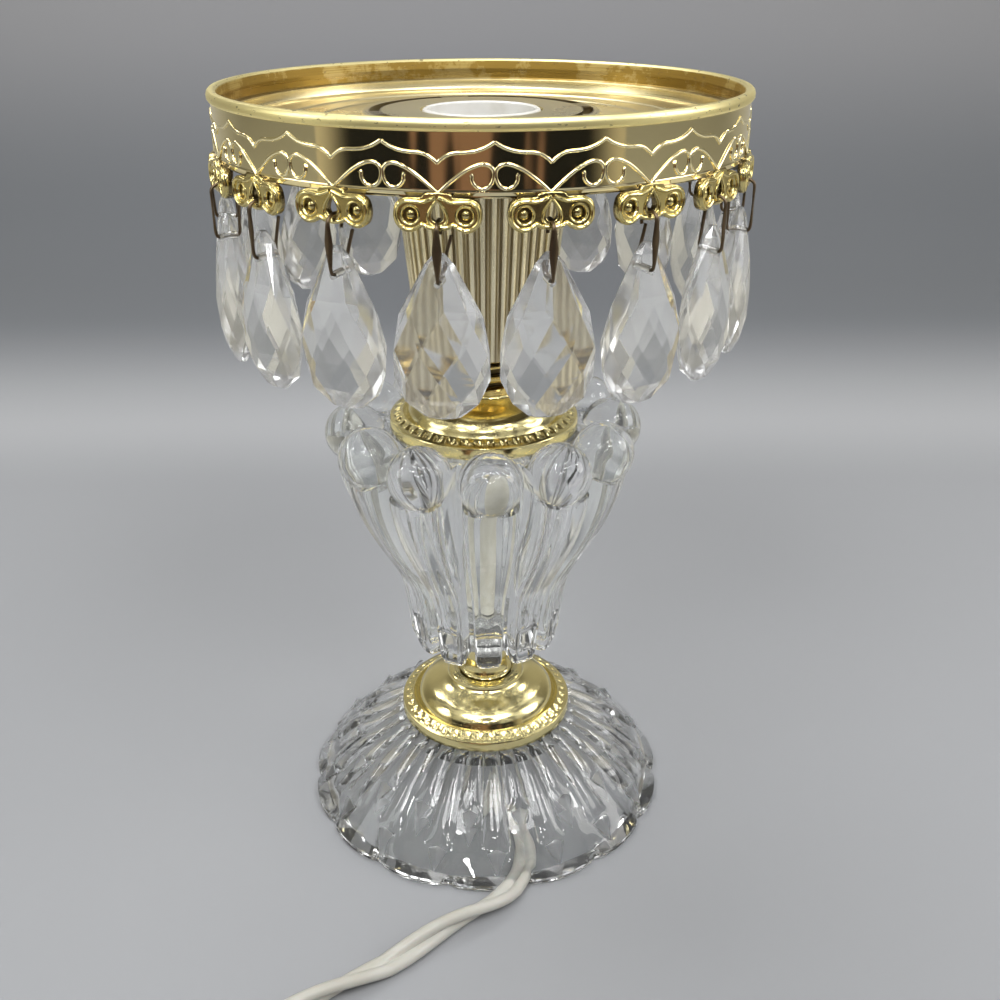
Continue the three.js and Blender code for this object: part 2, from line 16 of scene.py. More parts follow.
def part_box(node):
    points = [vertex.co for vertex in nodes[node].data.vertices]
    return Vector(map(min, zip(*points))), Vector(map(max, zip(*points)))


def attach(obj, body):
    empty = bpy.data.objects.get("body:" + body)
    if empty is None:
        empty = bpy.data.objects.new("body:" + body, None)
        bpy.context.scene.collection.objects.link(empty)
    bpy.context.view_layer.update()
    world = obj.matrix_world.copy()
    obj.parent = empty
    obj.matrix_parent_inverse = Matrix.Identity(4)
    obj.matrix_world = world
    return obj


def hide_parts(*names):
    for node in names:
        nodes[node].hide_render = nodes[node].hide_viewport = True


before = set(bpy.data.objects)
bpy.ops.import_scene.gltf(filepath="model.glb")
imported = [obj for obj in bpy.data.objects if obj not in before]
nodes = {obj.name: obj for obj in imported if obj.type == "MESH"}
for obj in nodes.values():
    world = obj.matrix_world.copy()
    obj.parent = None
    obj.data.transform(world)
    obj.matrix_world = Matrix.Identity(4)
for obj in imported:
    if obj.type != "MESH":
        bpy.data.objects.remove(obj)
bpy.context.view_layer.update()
MM = 0.001

# %% [markdown]
# ## The camera
# The photograph was taken from the front and above, so close that the ring looks much wider than the dish.
# Lens and distance come from the known heights and widths of the lamp.

# %% Camera
bpy.ops.object.camera_add(location=(0, -0.30624, 0.25698), rotation=(math.radians(63.48), 0, -0.0158))
camera = bpy.context.object
camera.data.lens = 39.70
camera.data.sensor_width = 36
camera.data.clip_start = 0.01
bpy.context.scene.camera = camera
bpy.context.scene.view_settings.view_transform = "Standard"
print("camera at", camera.location[:])

# %% [markdown]
# ## Places round the lamp
# Nearly everything is turned about one axis, so a place is easiest to give as a radius, an azimuth from the
# front and a height, in millimetres and degrees. One function turns that into Blender's metres.

# %% A point round the axis
def around(radius, azimuth, height):
    angle = math.radians(azimuth)
    return Vector((radius * math.sin(angle), -radius * math.cos(angle), height)) * MM


print("60 mm to the right:", around(60, 90, 0)[:])

# %% [markdown]
# ## The flex
# The flex is an ivory flat twin lead about 1.8 m long. It comes down out of the pipe, crosses under the dish,
# leaves through a notch at the front and runs out of the picture. The rest is wound into a coil, with the
# switch before it and the plug on top.

# %% Route of the flex
FLEX_WIDTH = 7.0
FLEX_THICKNESS = 3.5
LIE = 1.9
TURN_CENTRE = Vector((-25, -200, 0))
TURNS = [(42, 3.6), (35, 3.6), (35, 10.5), (42, 10.5), (42, 17.4), (35, 17.4), (38.5, 24.6), (40.8, 24.9)]
TURN_STEPS = 36


def lying(*places):
    """Points that lie on the table where no height is given."""
    return [Vector((*place, LIE)[:3]) for place in places]


before_switch = lying(
    (0, 0, 14.9), (0, -1, 9.6), (0, -4, 5), (0.6, -9, 2.5), (2.6, -16), (6.4, -25), (10.2, -34), (12, -43),
    (11, -51), (9.4, -55.6), (6.2, -61), (0.9, -66.2), (-11, -74.3), (-24.8, -84.8), (-35.5, -91.6),
    (-45.5, -97.8), (-54, -103.8), (-60.6, -109.6, 2.4), (-65.3, -115.6, 3.4), (-67.2, -120.8, 4.2),
    (-67.2, -123.7, 4.6))
after_switch = lying((-67.2, -135, 4.6), (-67.2, -147, 4.6), (-67.2, -159, 4.6), (-67.2, -170.3, 4.6),
                     (-67.2, -175.6, 4), (-67.1, -184, 3.6))


def ease(share):
    share = min(1, max(0, share))
    return share * share * (3 - 2 * share)


def coil():
    """Each turn goes over to the radius and height of the next near its end. The last is part of a turn."""
    points = []
    for here, there in zip(TURNS, TURNS[1:]):
        start, end = (10, 21) if there is TURNS[-1] else (TURN_STEPS - 6, TURN_STEPS)
        for step in range(end):
            share = ease((step - start) / (end - start))
            radius, height = (a + (b - a) * share for a, b in zip(here, there))
            angle = math.pi + 2 * math.pi * step / TURN_STEPS
            points.append(TURN_CENTRE + Vector((radius * math.cos(angle), radius * math.sin(angle), height)))
    return points


tail = lying((12.7, -184.2, 24.9), (11.9, -182.4, 24.9))
print("the coil has", len(coil()), "points")

# %% [markdown]
# A Catmull-Rom curve goes through all of its points. It is stepped at even lengths, so that the twist of the
# two strands is even too.

# %% Smooth route
def through(points, cuts=8):
    ends = [2 * points[0] - points[1]] + points + [2 * points[-1] - points[-2]]
    smooth = []
    for a, b, c, d in zip(ends, ends[1:], ends[2:], ends[3:]):
        for cut in range(cuts):
            t = cut / cuts
            smooth.append(0.5 * (2 * b + (c - a) * t + (2 * a - 5 * b + 4 * c - d) * t * t
                                 + (3 * b - 3 * c + d - a) * t ** 3))
    return smooth + [points[-1]]


def smoothed(line, cuts=6):
    """The same for a line of (x, y) pairs."""
    return [(point.x, point.y) for point in through([Vector((*pair, 0)) for pair in line], cuts)]


def stepped(points, step=3.5):
    even = [points[0]]
    spare = 0
    for a, b in zip(points, points[1:]):
        length = (b - a).length
        reach = step - spare
        while reach <= length:
            even.append(a.lerp(b, reach / length))
            reach += step
        spare = length - (reach - step)
    return even + [points[-1]]


route = stepped(through(before_switch + after_switch + coil() + tail))
lengths = [0]
for a, b in zip(route, route[1:]):
    lengths.append(lengths[-1] + (b - a).length)
print("flex", round(lengths[-1]), "mm along", len(route), "points")

# %% [markdown]
# The two strands lie flat under the dish, in the switch and at the plug, and wind round each other elsewhere.
# The tilt of each point of the curve turns the section, and a strand that stands up lifts the lead.

# %% Twist of the flex
def length_at(place):
    nearest = min(range(len(route)), key=lambda i: (route[i] - Vector(place)).length)
    return lengths[nearest]


HALF_TURN = 48
notch = length_at((9.4, -55.6, LIE)) + 4
switch_in = length_at((-67.2, -123.7, 4.6)) - 10
switch_out = length_at((-67.2, -170.3, 4.6)) + 4
twists = [(notch, switch_in), (switch_out, lengths[-1] - 30)]


def tilt_at(length):
    half_turns = 0
    for start, end in twists:
        whole = round((end - start) / HALF_TURN)
        half_turns += whole * min(1, max(0, (length - start) / (end - start)))
    return math.pi * half_turns


def lift(length, height):
    return FLEX_THICKNESS / 2 * abs(math.sin(tilt_at(length))) if height < 3.4 else 0


flex_line = [(point + Vector((0, 0, lift(length, point.z)))) * MM for point, length in zip(route, lengths)]
print("half turns", round(tilt_at(lengths[-1]) / math.pi))

# %% [markdown]
# The section is two round strands with a web between them, drawn along the route as a bevel.

# %% Flex
def curve_of(name, *outlines, flat=False):
    """A curve through points. A flat one is closed."""
    data = bpy.data.curves.new(name, "CURVE")
    data.dimensions = "2D" if flat else "3D"
    for outline in outlines:
        spline = data.splines.new("POLY")
        spline.points.add(len(outline) - 1)
        for point, place in zip(spline.points, outline):
            point.co = (*place, 1)
        spline.use_cyclic_u = flat
    thing = bpy.data.objects.new(name, data)
    bpy.context.scene.collection.objects.link(thing)
    return thing


def only(piece):
    for thing in bpy.context.selected_objects:
        thing.select_set(False)
    piece.select_set(True)
    bpy.context.view_layer.objects.active = piece


def made_mesh(thing):
    only(thing)
    bpy.ops.object.convert(target="MESH")
    return bpy.context.object


def twin_section():
    strand = FLEX_THICKNESS / 2
    upper = []
    for step in range(15):
        x = -FLEX_WIDTH / 2 * math.cos(math.pi * step / 14)
        y = math.sqrt(max(0, strand ** 2 - (abs(x) - strand) ** 2))
        upper.append((x * MM, max(y, 0.75 if abs(x) < strand else 0) * MM, 0))
    return upper + [(x, -y, 0) for x, y, _ in reversed(upper[1:-1])]


section = curve_of("twin_section", twin_section(), flat=True)
flex = curve_of("flex", flex_line)
flex.data.twist_mode = "Z_UP"
flex.data.bevel_mode = "OBJECT"
flex.data.bevel_object = section
flex.data.use_fill_caps = True
for point, length in zip(flex.data.splines[0].points, lengths):
    point.tilt = tilt_at(length)
flex = made_mesh(flex)
bpy.data.objects.remove(section)
print("flex faces", len(flex.data.polygons))

# %% [markdown]
# ## Writing finishes
# One small class lets numbers inside a material be added and multiplied as Python expressions. Patterns read
# Object coordinates, in millimetres.

# %% Sums in a material
def operation(kind, swapped=False):
    return lambda a, b: a.finish.math(kind, *((b, a) if swapped else (a, b)))


class Value:
    """A number inside a finish."""

    __add__ = __radd__ = operation("ADD")
    __mul__ = __rmul__ = operation("MULTIPLY")
    __sub__ = operation("SUBTRACT")
    __rsub__ = operation("SUBTRACT", swapped=True)
    __pow__ = operation("POWER")

    def __init__(self, finish, socket):
        self.finish = finish
        self.socket = socket


class Finish:
    """A material that is being written."""

    def __init__(self, name, **fixed):
        self.material = bpy.data.materials.new(name)
        self.material.use_nodes = True
        self.tree = self.material.node_tree
        self.shader = self.tree.nodes["Principled BSDF"]
        self.done(**fixed)
        place = self.node("ShaderNodeTexCoord", output="Object")
        self.place = self.node("ShaderNodeVectorMath", {"operation": "SCALE"}, {0: place, "Scale": 1000})

    def fill(self, node, inputs):
        for name, value in inputs.items():
            if isinstance(value, Value):
                self.tree.links.new(value.socket, node.inputs[name])
            else:
                node.inputs[name].default_value = value

    def node(self, kind, settings=None, inputs=None, output=0):
        node = self.tree.nodes.new(kind)
        for name, value in (settings or {}).items():
            setattr(node, name, value)
        self.fill(node, inputs or {})
        return Value(self, node.outputs[output])

    def math(self, operation, *numbers):
        return self.node("ShaderNodeMath", {"operation": operation}, dict(enumerate(numbers)))

    def noise(self, size, detail=3, place=None, rough=0.5):
        return self.node("ShaderNodeTexNoise", {}, {"Vector": place or self.place, "Scale": 1 / size,
                                                    "Detail": detail, "Roughness": rough})

    def stretched(self, x, y, z):
        return self.node("ShaderNodeVectorMath", {"operation": "MULTIPLY"}, {0: self.place, 1: (x, y, z)})

    def axis(self, name):
        return self.node("ShaderNodeSeparateXYZ", {}, {0: self.place}, output=name)

    def radius(self):
        return self.math("SQRT", self.axis("X") ** 2 + self.axis("Y") ** 2)

    def azimuth(self):
        return self.math("ARCTAN2", self.axis("X"), self.axis("Y") * -1)

    def share(self, value, low, high, most=1, course="SMOOTHSTEP"):
        return self.node("ShaderNodeMapRange", {"interpolation_type": course},
                         {"Value": value, "From Min": low, "From Max": high, "To Max": most})

    def mix(self, share, a, b):
        colours = {6: a if isinstance(a, Value) else (*a, 1), 7: b if isinstance(b, Value) else (*b, 1)}
        return self.node("ShaderNodeMix", {"data_type": "RGBA"}, {0: share, **colours}, output=2)

    def bump(self, height, depth, strength):
        return self.node("ShaderNodeBump", {},
                         {"Height": height, "Distance": depth * MM, "Strength": strength})

    def done(self, **inputs):
        self.fill(self.shader, {name.replace("_", " ").title().replace("Ior", "IOR"): value
                                for name, value in inputs.items()})
        return self.material


print("finishes can be written")

# %% [markdown]
# ## Brass, gilding and other metals
# Lacquered brass is yellow and almost a mirror, with a fine cloud of wear that dulls it in places. With other
# colours the same recipe gives steel, aluminium and the dark bronze of the pins, so it is one function.

# %% Metals
def metal(name, clean, tarnished, gloss, wear=0.35):
    """gloss is the roughness where the metal is clean and where it is worn."""
    f = Finish(name, metallic=1.0)
    cloud = f.noise(9, detail=6, rough=0.65)
    specks = f.share(f.noise(0.9, detail=4), 0.56, 0.74)
    worn = f.share(cloud + specks * 0.25, 0.5, 0.95)
    grain = f.noise(0.6, detail=2)
    low, high = gloss
    return f.done(base_color=f.mix(worn * wear, clean, tarnished),
                  roughness=worn * (high - low) + grain * (low * 0.6) + low * 0.7,
                  normal=f.bump(grain + specks * 0.4, depth=0.01, strength=0.35))


brass = metal("polished_brass", (0.87, 0.76, 0.38), (0.54, 0.43, 0.17), (0.15, 0.34), wear=0.5)
steel = metal("zinc_steel", (0.62, 0.62, 0.60), (0.35, 0.34, 0.31), (0.25, 0.42))
contact = metal("contact_brass", (0.78, 0.58, 0.26), (0.40, 0.28, 0.12), (0.22, 0.4))
bronze = metal("pin_bronze", (0.13, 0.095, 0.06), (0.05, 0.035, 0.025), (0.34, 0.55), wear=0.8)
shell_metal = metal("shell_aluminium", (0.80, 0.79, 0.76), (0.50, 0.48, 0.44), (0.22, 0.4))
print("metals", len(bpy.data.materials))

# %% [markdown]
# ## Glass
# Pressed glass is not quite flat: it keeps a faint ripple and a few pits from the mould. The old crystals are
# a little hazy. The pieces have their real thickness, so one clear shader with a fine bump is enough.

# %% Glass
REFRACTION = 1.5


def glass(name, tint, ripple, depth, clear, roughness_of):
    """ripple and depth are the length and the height of the waves in the surface, in millimetres."""
    f = Finish(name, transmission_weight=clear, ior=REFRACTION)
    return f.done(base_color=f.mix(f.noise(25), tint, (0.995, 0.997, 0.996)), roughness=roughness_of(f),
                  normal=f.bump(f.noise(ripple, detail=2), depth=depth, strength=0.5))


def pits(f):
    return f.share(f.noise(1.1, detail=3), 0.62, 0.72) * 0.05


pressed_glass = glass("pressed_glass", (0.945, 0.962, 0.958), 9, 0.006, 0.98, pits)
crystal = glass("cut_crystal", (0.90, 0.905, 0.885), 14, 0.01, 0.945, lambda f: 0.09)
print("glasses ready")

# %% [markdown]
# ## Porcelain, rubber, card and plastic
# These need no more than two near tones in a cloud and a fine grain, so that no surface is one flat colour.

# %% Porcelain, rubber and plastic
def solid(name, light, dark, gloss, size, **fixed):
    f = Finish(name, **fixed)
    cloud = f.noise(size, detail=4)
    low, high = gloss
    return f.done(base_color=f.mix(f.share(cloud, 0.35, 0.7), light, dark),
                  roughness=cloud * (high - low) + low,
                  normal=f.bump(f.noise(0.35, detail=2), depth=0.02, strength=0.4))


porcelain = solid("glazed_porcelain", (0.86, 0.85, 0.81), (0.78, 0.76, 0.70), (0.12, 0.3), 6)
rubber = solid("gasket_rubber", (0.025, 0.024, 0.022), (0.045, 0.043, 0.04), (0.5, 0.8), 2)
sleeve_paper = solid("sleeve_card", (0.52, 0.51, 0.44), (0.45, 0.43, 0.35), (0.5, 0.75), 5)
ivory = solid("ivory_plastic", (0.54, 0.53, 0.48), (0.49, 0.475, 0.415), (0.25, 0.42), 12,
              subsurface_weight=0.08, subsurface_scale=0.002)
print(len(bpy.data.materials), "finishes")

# %% [markdown]
# ## Table and light
# The lamp stands on a pale grey sheet that rises behind it, made by extruding one edge of a plane in a curve.
# In reflections the sheet is paler at its sides, for the ends of the gilt band.

# %% Sheet of the table and background
def sheet_paper():
    f = Finish("table_sheet", roughness=0.9)
    # The sheet's tones are painted light and shade: a lighter band across the floor behind the lamp, a
    # darkening towards the wall, and a wall that gets lighter upwards.
    floor = f.mix(f.share(f.axis("Y"), 225, 325), (0.34, 0.347, 0.361), (0.425, 0.432, 0.446))
    wall = f.mix(f.share(f.axis("Z"), 30, 230), (0.19, 0.2, 0.215), (0.355, 0.355, 0.37))
    paper = f.mix(f.share(f.axis("Y"), 295, 545), floor, wall)
    # A painted shadow of the glass dish darkens the sheet under the front of the dish.
    painted_dish_shadow = (1 - f.share(f.radius(), 51, 58)) * f.share(f.axis("Y") * -1, 5, 40)
    paper = f.mix(painted_dish_shadow * 0.45, paper, (0.16, 0.165, 0.17))
    reflected = 1 - f.node("ShaderNodeLightPath", output="Is Camera Ray")
    beside = f.share(f.math("ABSOLUTE", f.axis("X")), 240, 360)
    return f.done(base_color=f.mix(reflected * beside, paper, (0.55, 0.53, 0.46)),
                  normal=f.bump(f.noise(3, detail=2), depth=0.02, strength=0.2))


def extrude(x, y, z):
    bpy.ops.mesh.extrude_region_move(TRANSFORM_OT_translate={"value": (x, y, z)})


bpy.ops.mesh.primitive_plane_add(size=5, location=(0, -1.9, -0.0003))
table = bpy.context.object
table.name = "table_sheet"
bpy.ops.object.mode_set(mode="EDIT")
bpy.ops.mesh.select_mode(type="EDGE")
bpy.ops.mesh.select_all(action="DESELECT")
sheet_mesh = bmesh.from_edit_mesh(table.data)
for edge in sheet_mesh.edges:
    edge.select = all(v.co.y > 2.49 for v in edge.verts)
bmesh.update_edit_mesh(table.data)
for step in range(1, 13):
    turn = math.radians(7.5 * step - 3.75)
    extrude(0, 0.05 * math.cos(turn), 0.05 * math.sin(turn))
extrude(0, 0, 1.2)
bpy.ops.object.mode_set(mode="OBJECT")
bpy.ops.object.transform_apply(location=True)
bpy.ops.object.shade_smooth()
table.data.materials.append(sheet_paper())
print("sheet", table.dimensions[:])

# %% [markdown]
# Wide soft lamps do most of the work. A ring of small ones, which only reflections see, gives the little
# lights on the glass balls.

# %% Lamps
AIM = Vector((0, 0, 0.1))


def lamp_at(name, place, size, power, tint=(1, 1, 1)):
    bpy.ops.object.light_add(type="AREA", location=place)
    lamp = bpy.context.object
    lamp.name = name
    lamp.rotation_euler = (AIM - Vector(place)).to_track_quat("-Z", "Y").to_euler()
    lamp.data.shape = "DISK"
    lamp.data.size = size
    lamp.data.energy = power
    lamp.data.color = tint
    return lamp


def sparkle_at(name, place, size, power):
    """A lamp that shows in reflections and lights nothing else."""
    lamp = lamp_at(name, place, size, power)
    lamp.visible_diffuse = False
    lamp.visible_transmission = False


lamp_at("overhead", (-0.25, 0.30, 1.15), 0.75, 4.8)
lamp_at("front_left_top", (-0.34, -0.55, 0.95), 0.42, 3.7)
lamp_at("front_right_top", (0.36, -0.52, 0.95), 0.42, 3.5)
lamp_at("right_window", (0.95, -0.10, 0.55), 0.55, 2.6, tint=(1, 0.98, 0.95))
lamp_at("left_window", (-0.95, -0.25, 0.50), 0.45, 1.3, tint=(0.95, 0.98, 1))
RING_LAMPS = 8
for number in range(RING_LAMPS):
    turn = number * 2 * math.pi / RING_LAMPS
    rise = 0.21 * math.sin(turn)
    sparkle_at(f"ring_{number + 1}", (0.3 * math.cos(turn), -0.72 + rise, 0.86 + rise), 0.07, 0.45)
for name, side in (("left", -1), ("right", 1)):
    sparkle_at("back_" + name, (0.55 * side, 0.45, 0.75), 0.14, 0.7)
    sparkle_at(name, (0.8 * side, -0.15, 0.7), 0.14, 0.6)

# %% [markdown]
# Polished metal looks rich only when something dark is reflected in it. So a strip of dark cloth hangs round
# the front, from 66 degrees on the left to 56 on the right, and only reflections see it.

# %% Dark cloth
bpy.ops.mesh.primitive_grid_add(x_subdivisions=34, y_subdivisions=2, size=1)
flag = bpy.context.object
flag.name = "dark_flag"
for point in flag.data.vertices:
    point.co = around(620, -5 + 122 * point.co.x, 125 + 230 * point.co.y)
f = Finish("dark_flag", roughness=1.0)
folds = f.noise(95, detail=2, place=f.stretched(1, 1, 0.3))
middle = 1 - f.share(f.math("ABSOLUTE", f.axis("X") + 70), 60, 190)
cloth = f.mix(f.share(folds + middle * 0.16, 0.56, 0.66), (0.005, 0.005, 0.005), (0.34, 0.19, 0.13))
end = f.share(f.math("ABSOLUTE", f.azimuth() + 0.09), 0.78, 1.07)
flag.data.materials.append(f.done(base_color=f.mix(end, cloth, (0.60, 0.54, 0.42))))
for ray in ("camera", "diffuse", "transmission", "volume_scatter", "shadow"):
    setattr(flag, "visible_" + ray, False)
print("cloth hung")

# %% [markdown]
# The world is the rest of what glass and metal reflect: a sky that is lighter above, dark panels and a dark
# block in front. The camera sees plain grey instead.

# %% World
class Surroundings(Finish):
    """The world as a finish. A place is a direction here."""

    def __init__(self, name):
        world = bpy.data.worlds.new(name)
        bpy.context.scene.world = world
        world.use_nodes = True
        self.tree = world.node_tree
        self.shader = self.tree.nodes["Background"]
        self.place = self.node("ShaderNodeTexCoord", output="Generated")

    def ramp(self, value, low, high, most=1):
        return self.share(value, low, high, most, "LINEAR")


w = Surroundings("studio")
up = w.axis("Z")
sky = w.mix(w.ramp(up, 0.05, 0.6), (0.20, 0.20, 0.21), (0.75, 0.76, 0.78))
side = w.mix(w.ramp(w.axis("X"), -0.3, -0.95), sky, (0.31, 0.29, 0.21))
block = w.ramp(w.axis("Y"), -0.3, -0.5) * w.ramp(w.math("ABSOLUTE", w.axis("X")), 0.42, 0.3)
room = w.mix(block, side, (0.04, 0.038, 0.035))
cloud = w.noise(1, detail=2, place=w.stretched(5.5, 5.5, 0.8))
room = w.mix(w.ramp(cloud, 0.5, 0.54, 0.8), room, (0.05, 0.05, 0.055))
room = w.mix(w.ramp(up, 0.06, 0), room, (0.36, 0.33, 0.26))
seen = w.node("ShaderNodeLightPath", output="Is Camera Ray")
w.fill(w.shader, {"Color": w.mix(seen, room, (0.24, 0.245, 0.255)), "Strength": 1.1})
print("world", bpy.context.scene.world.name)

# %% [markdown]
# ## Turned pieces
# Each starts as a circle that is extruded and resized from one point of its outline to the next, and back to
# the first, so that it closes on itself.

# %% Turning
WELD = 2e-6


def edit_all():
    bpy.ops.object.mode_set(mode="EDIT")
    bpy.ops.mesh.select_all(action="SELECT")


def outwards():
    """Turns all faces outwards and leaves edit mode."""
    bpy.ops.mesh.select_all(action="SELECT")
    bpy.ops.mesh.normals_make_consistent(inside=False)
    bpy.ops.object.mode_set(mode="OBJECT")


def turned(name, outline, segments):
    radius, height = outline[0]
    bpy.ops.mesh.primitive_circle_add(vertices=segments, radius=radius * MM, location=(0, 0, height * MM))
    piece = bpy.context.object
    piece.name = name
    bpy.ops.object.transform_apply(location=True)
    edit_all()
    for next_radius, next_height in outline[1:] + outline[:1]:
        extrude(0, 0, (next_height - height) * MM)
        share = next_radius / radius
        bpy.ops.transform.resize(value=(share, share, 1), center_override=(0, 0, next_height * MM))
        radius, height = next_radius, next_height
    bpy.ops.mesh.select_all(action="SELECT")
    bpy.ops.mesh.remove_doubles(threshold=WELD)
    outwards()
    return piece


print("pieces can be turned")

# %% [markdown]
# Fine shapes, such as flutes, are made afterwards, by moving the points of such a piece by a rule.

# %% Moving points
HOOP_RADIUS = 60


def moved(piece, rule):
    """The rule gets a point's radius, azimuth and height, and gives its new radius and height."""
    for point in piece.data.vertices:
        x, y, z = point.co / MM
        azimuth = math.degrees(math.atan2(x, -y)) % 360
        radius, height = rule(math.hypot(x, y), azimuth, z)
        point.co = around(radius, azimuth, height)
    return piece


def shaped(name, outline_at, segments):
    """A round piece whose outline changes with the azimuth: plain hoops first, then the points are moved."""
    outlines = [outline_at(360 * k / segments) for k in range(segments)]
    piece = turned(name, [(HOOP_RADIUS, hoop) for hoop in range(len(outlines[0]))], segments)
    moved(piece, lambda _, azimuth, hoop: outlines[round(azimuth * segments / 360) % segments][round(hoop)])
    only(piece)
    edit_all()
    outwards()
    return piece


print("points can be moved")

# %% [markdown]
# A made piece is smoothed, gets its material and takes the place of its solids. The vase and the crystals
# cast no shadow, so that light reaches what they cover. The flex, with the switch and plug on it, is first.

# %% Handing over, and the flex
def hand_over(piece, finish, slot, *replaced, body="lamp", smooth=35):
    piece.visible_shadow = slot not in ("pressed_glass", "crystal") or "base_dish" in replaced
    only(piece)
    if smooth:
        bpy.ops.object.shade_smooth_by_angle(angle=math.radians(smooth))
    piece.data.materials.clear()
    piece.data.materials.append(finish)
    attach(piece, body)
    if replaced:
        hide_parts(*replaced)


ON_FLEX = ["switch_body", "switch_wheel", "plug_body", "plug_blade_wide", "plug_blade_narrow"]
hand_over(flex, ivory, "cord_ivory", "cord_to_switch", "cord_to_coil", "cord_coil", smooth=40)

# %% [markdown]
# ## The glass dish
# The dish is pressed in one mould: a steep cone with thirty-six rounded flutes that end in frosted darts,
# each second one higher up. Its rim is fifteen scallops with a small upright cut between them. All of that
# is a change of the outline with the azimuth.

# %% Dish
DISH_TOP = 28.0
DISH_OUTLINE = [(27, 28), (30, 27.2), (36, 23.6), (42, 19.2), (48, 14.1), (53, 9.2), (57, 4.9), (59, 2.7)]
FLUTES = 36
SCALLOPS = 15
FIRST_FLUTE = 3.3
DART = 4.6
DART_ENDS = (57.2, 48.5)
DART_HALF = 3.6


def darts(f):
    """The roughness of clear glass that is frosted in the dart at the end of each flute."""
    azimuth = f.azimuth() * (180 / math.pi)
    number = (azimuth - FIRST_FLUTE) * (FLUTES / 360)
    side = f.math("PINGPONG", number, 0.5) * (360 / FLUTES)
    odd = f.share(f.math("PINGPONG", number, 1), 0.49, 0.51)
    dart = (f.radius() - DART_ENDS[0] + DART + odd * (DART_ENDS[0] - DART_ENDS[1])) * (1 / DART)
    return f.share(dart, 0, 0.06) * (1 - f.share(side + dart * DART_HALF, DART_HALF - 0.3, DART_HALF)) * 0.38


def off_centre(azimuth, first, pitch):
    """Degrees from the nearest of the evenly spaced centres, and that centre's number."""
    number = round((azimuth - first) / pitch)
    return azimuth - first - number * pitch, number


def between(points, at):
    """The value at a place in a list of (place, value) points."""
    for (a, low), (b, high) in zip(points, points[1:]):
        if at <= b:
            return low + (high - low) * max(0, at - a) / (b - a)
    return points[-1][1]


def dish_outline(azimuth):
    flute, number = off_centre(azimuth, FIRST_FLUTE, 360 / FLUTES)
    scallop, _ = off_centre(azimuth, 0, 360 / SCALLOPS)
    end = DART_ENDS[number % 2]
    crown = 1 - (flute / 5) ** 2
    cut = 1.7 * math.exp(-((abs(scallop) - 12) / 2.1) ** 4)
    bow = 1 - math.cos(math.radians(scallop * 7.5))
    outline = [(5.6, DISH_TOP), (16, DISH_TOP), (27, DISH_TOP)]
    steps = 48
    for step in range(1, steps + 1):
        radius = 27 + (59 - 27) * step / steps
        height = between(DISH_OUTLINE, radius)
        dart = (radius - end) / DART + 1
        fade = ease((radius - (end - 8)) / 3.4)
        relief = min(1, (radius - 27) / 2.5) * (1.8 * crown - 1.2) * (1 - fade) - 0.4 * fade
        if 0 < dart < 1:
            side = max(0, 1 - abs(flute) / (DART_HALF * (1 - dart)))
            relief += (0.6 + 2.0 * side) * (1 - dart) if side else 0
        rim = ease((radius - 54) / 5)
        outline.append((radius - rim * (cut + bow), height + relief * (1 - 0.3 * rim) - 0.5 * rim * cut))
    edge = 59 - cut - bow
    foot = 59 - 0.35 * cut - bow
    outline += [(edge, 2.3), (edge, 1.7), (foot - 0.2, 1.3), (foot, 0.7), (foot - 0.35, 0.15),
                (foot - 1.2, 0)]
    ridge = 0.8 * (1 - abs(flute) / 5)
    inside = [(51.5, 2.5), (47, 8.7), (41, 14), (35, 18.6), (29, 22.3)]
    outline += [(52.5, 0)] + [(radius, level + ridge) for radius, level in inside] + [(24, 23), (5.6, 23)]
    return outline


dish = shaped("pressed_dish", dish_outline, 720)
dish_glass = glass("dish_glass", (0.968, 0.98, 0.974), 9, 0.006, 0.975, darts)
hand_over(dish, dish_glass, "pressed_glass", "base_dish", smooth=24)
print("dish faces", len(dish.data.polygons))

# %% [markdown]
# ## The two collars
# Both collars come from the same die: a flat rim, a ring of small teeth, a groove and a domed middle.

# %% Collar
COLLAR_OUTLINE = [
    (9.2, 13.8), (11.7, 13.8), (12.1, 13.5), (12.15, 12.9), (12.3, 12.3), (12.9, 11.8), (14.2, 11),
    (16, 10.3), (18.2, 9.6), (20.2, 8.6), (21.7, 7.1), (22.5, 5.5), (22.8, 4.3), (23.2, 3.9), (23.6, 4.2),
    (23.8, 4.7), (24.2, 4.95), (24.6, 4.75), (25, 4.45), (25.6, 4.2), (26.2, 3.95), (26.6, 3.75),
    (27.2, 3.6), (27.75, 3.4), (28, 2.9), (28, 0.3), (27.7, 0), (26.5, 0), (26, 2), (21, 3.6), (20, 6.4),
    (17, 8.4), (12, 10), (7, 10), (7, 12.3), (9, 12.3)]
TEETH = 42


def collar_teeth(radius, azimuth, height):
    if not 24.9 < radius < 26.5 or height < 3:
        return radius, height
    side, _ = off_centre(azimuth, 0, 360 / TEETH)
    half = (0.34 if radius < 25.3 else 0.4 if radius < 25.9 else 0.3) * 360 / TEETH
    bead = max(0, 1 - (side / half) ** 4)
    return radius, height + 0.6 * bead - 0.4


for name in ("lower_collar", "upper_collar"):
    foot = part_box(name)[0].z / MM
    collar = moved(turned(name + "_spun", COLLAR_OUTLINE, 504), collar_teeth)
    collar.data.transform(Matrix.Translation((0, 0, foot * MM)))
    hand_over(collar, brass, "brass_casting", name, smooth=40)
    print(name, "at", round(foot, 1))

# %% [markdown]
# ## The small turned pieces on the pipe
# A brass spindle and a rubber gasket carry the vase, and a sleeve hides the pipe inside it. The neck above
# the upper collar is a stack of brass rings with painted shade in its grooves. The porcelain socket has its
# threaded shell inside. All are turned, at the heights that the measured solids give.

# %% Spindle, gasket and neck
def raised(outline, height):
    return [(radius, level + height) for radius, level in outline]


def turned_in_place(node, name, outline, segments=96, finish=brass, slot="brass_casting"):
    """A turned piece whose outline's heights count from the underside of the solid that it stands for."""
    piece = turned(name, raised(outline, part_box(node)[0].z / MM), segments)
    hand_over(piece, finish, slot, node)


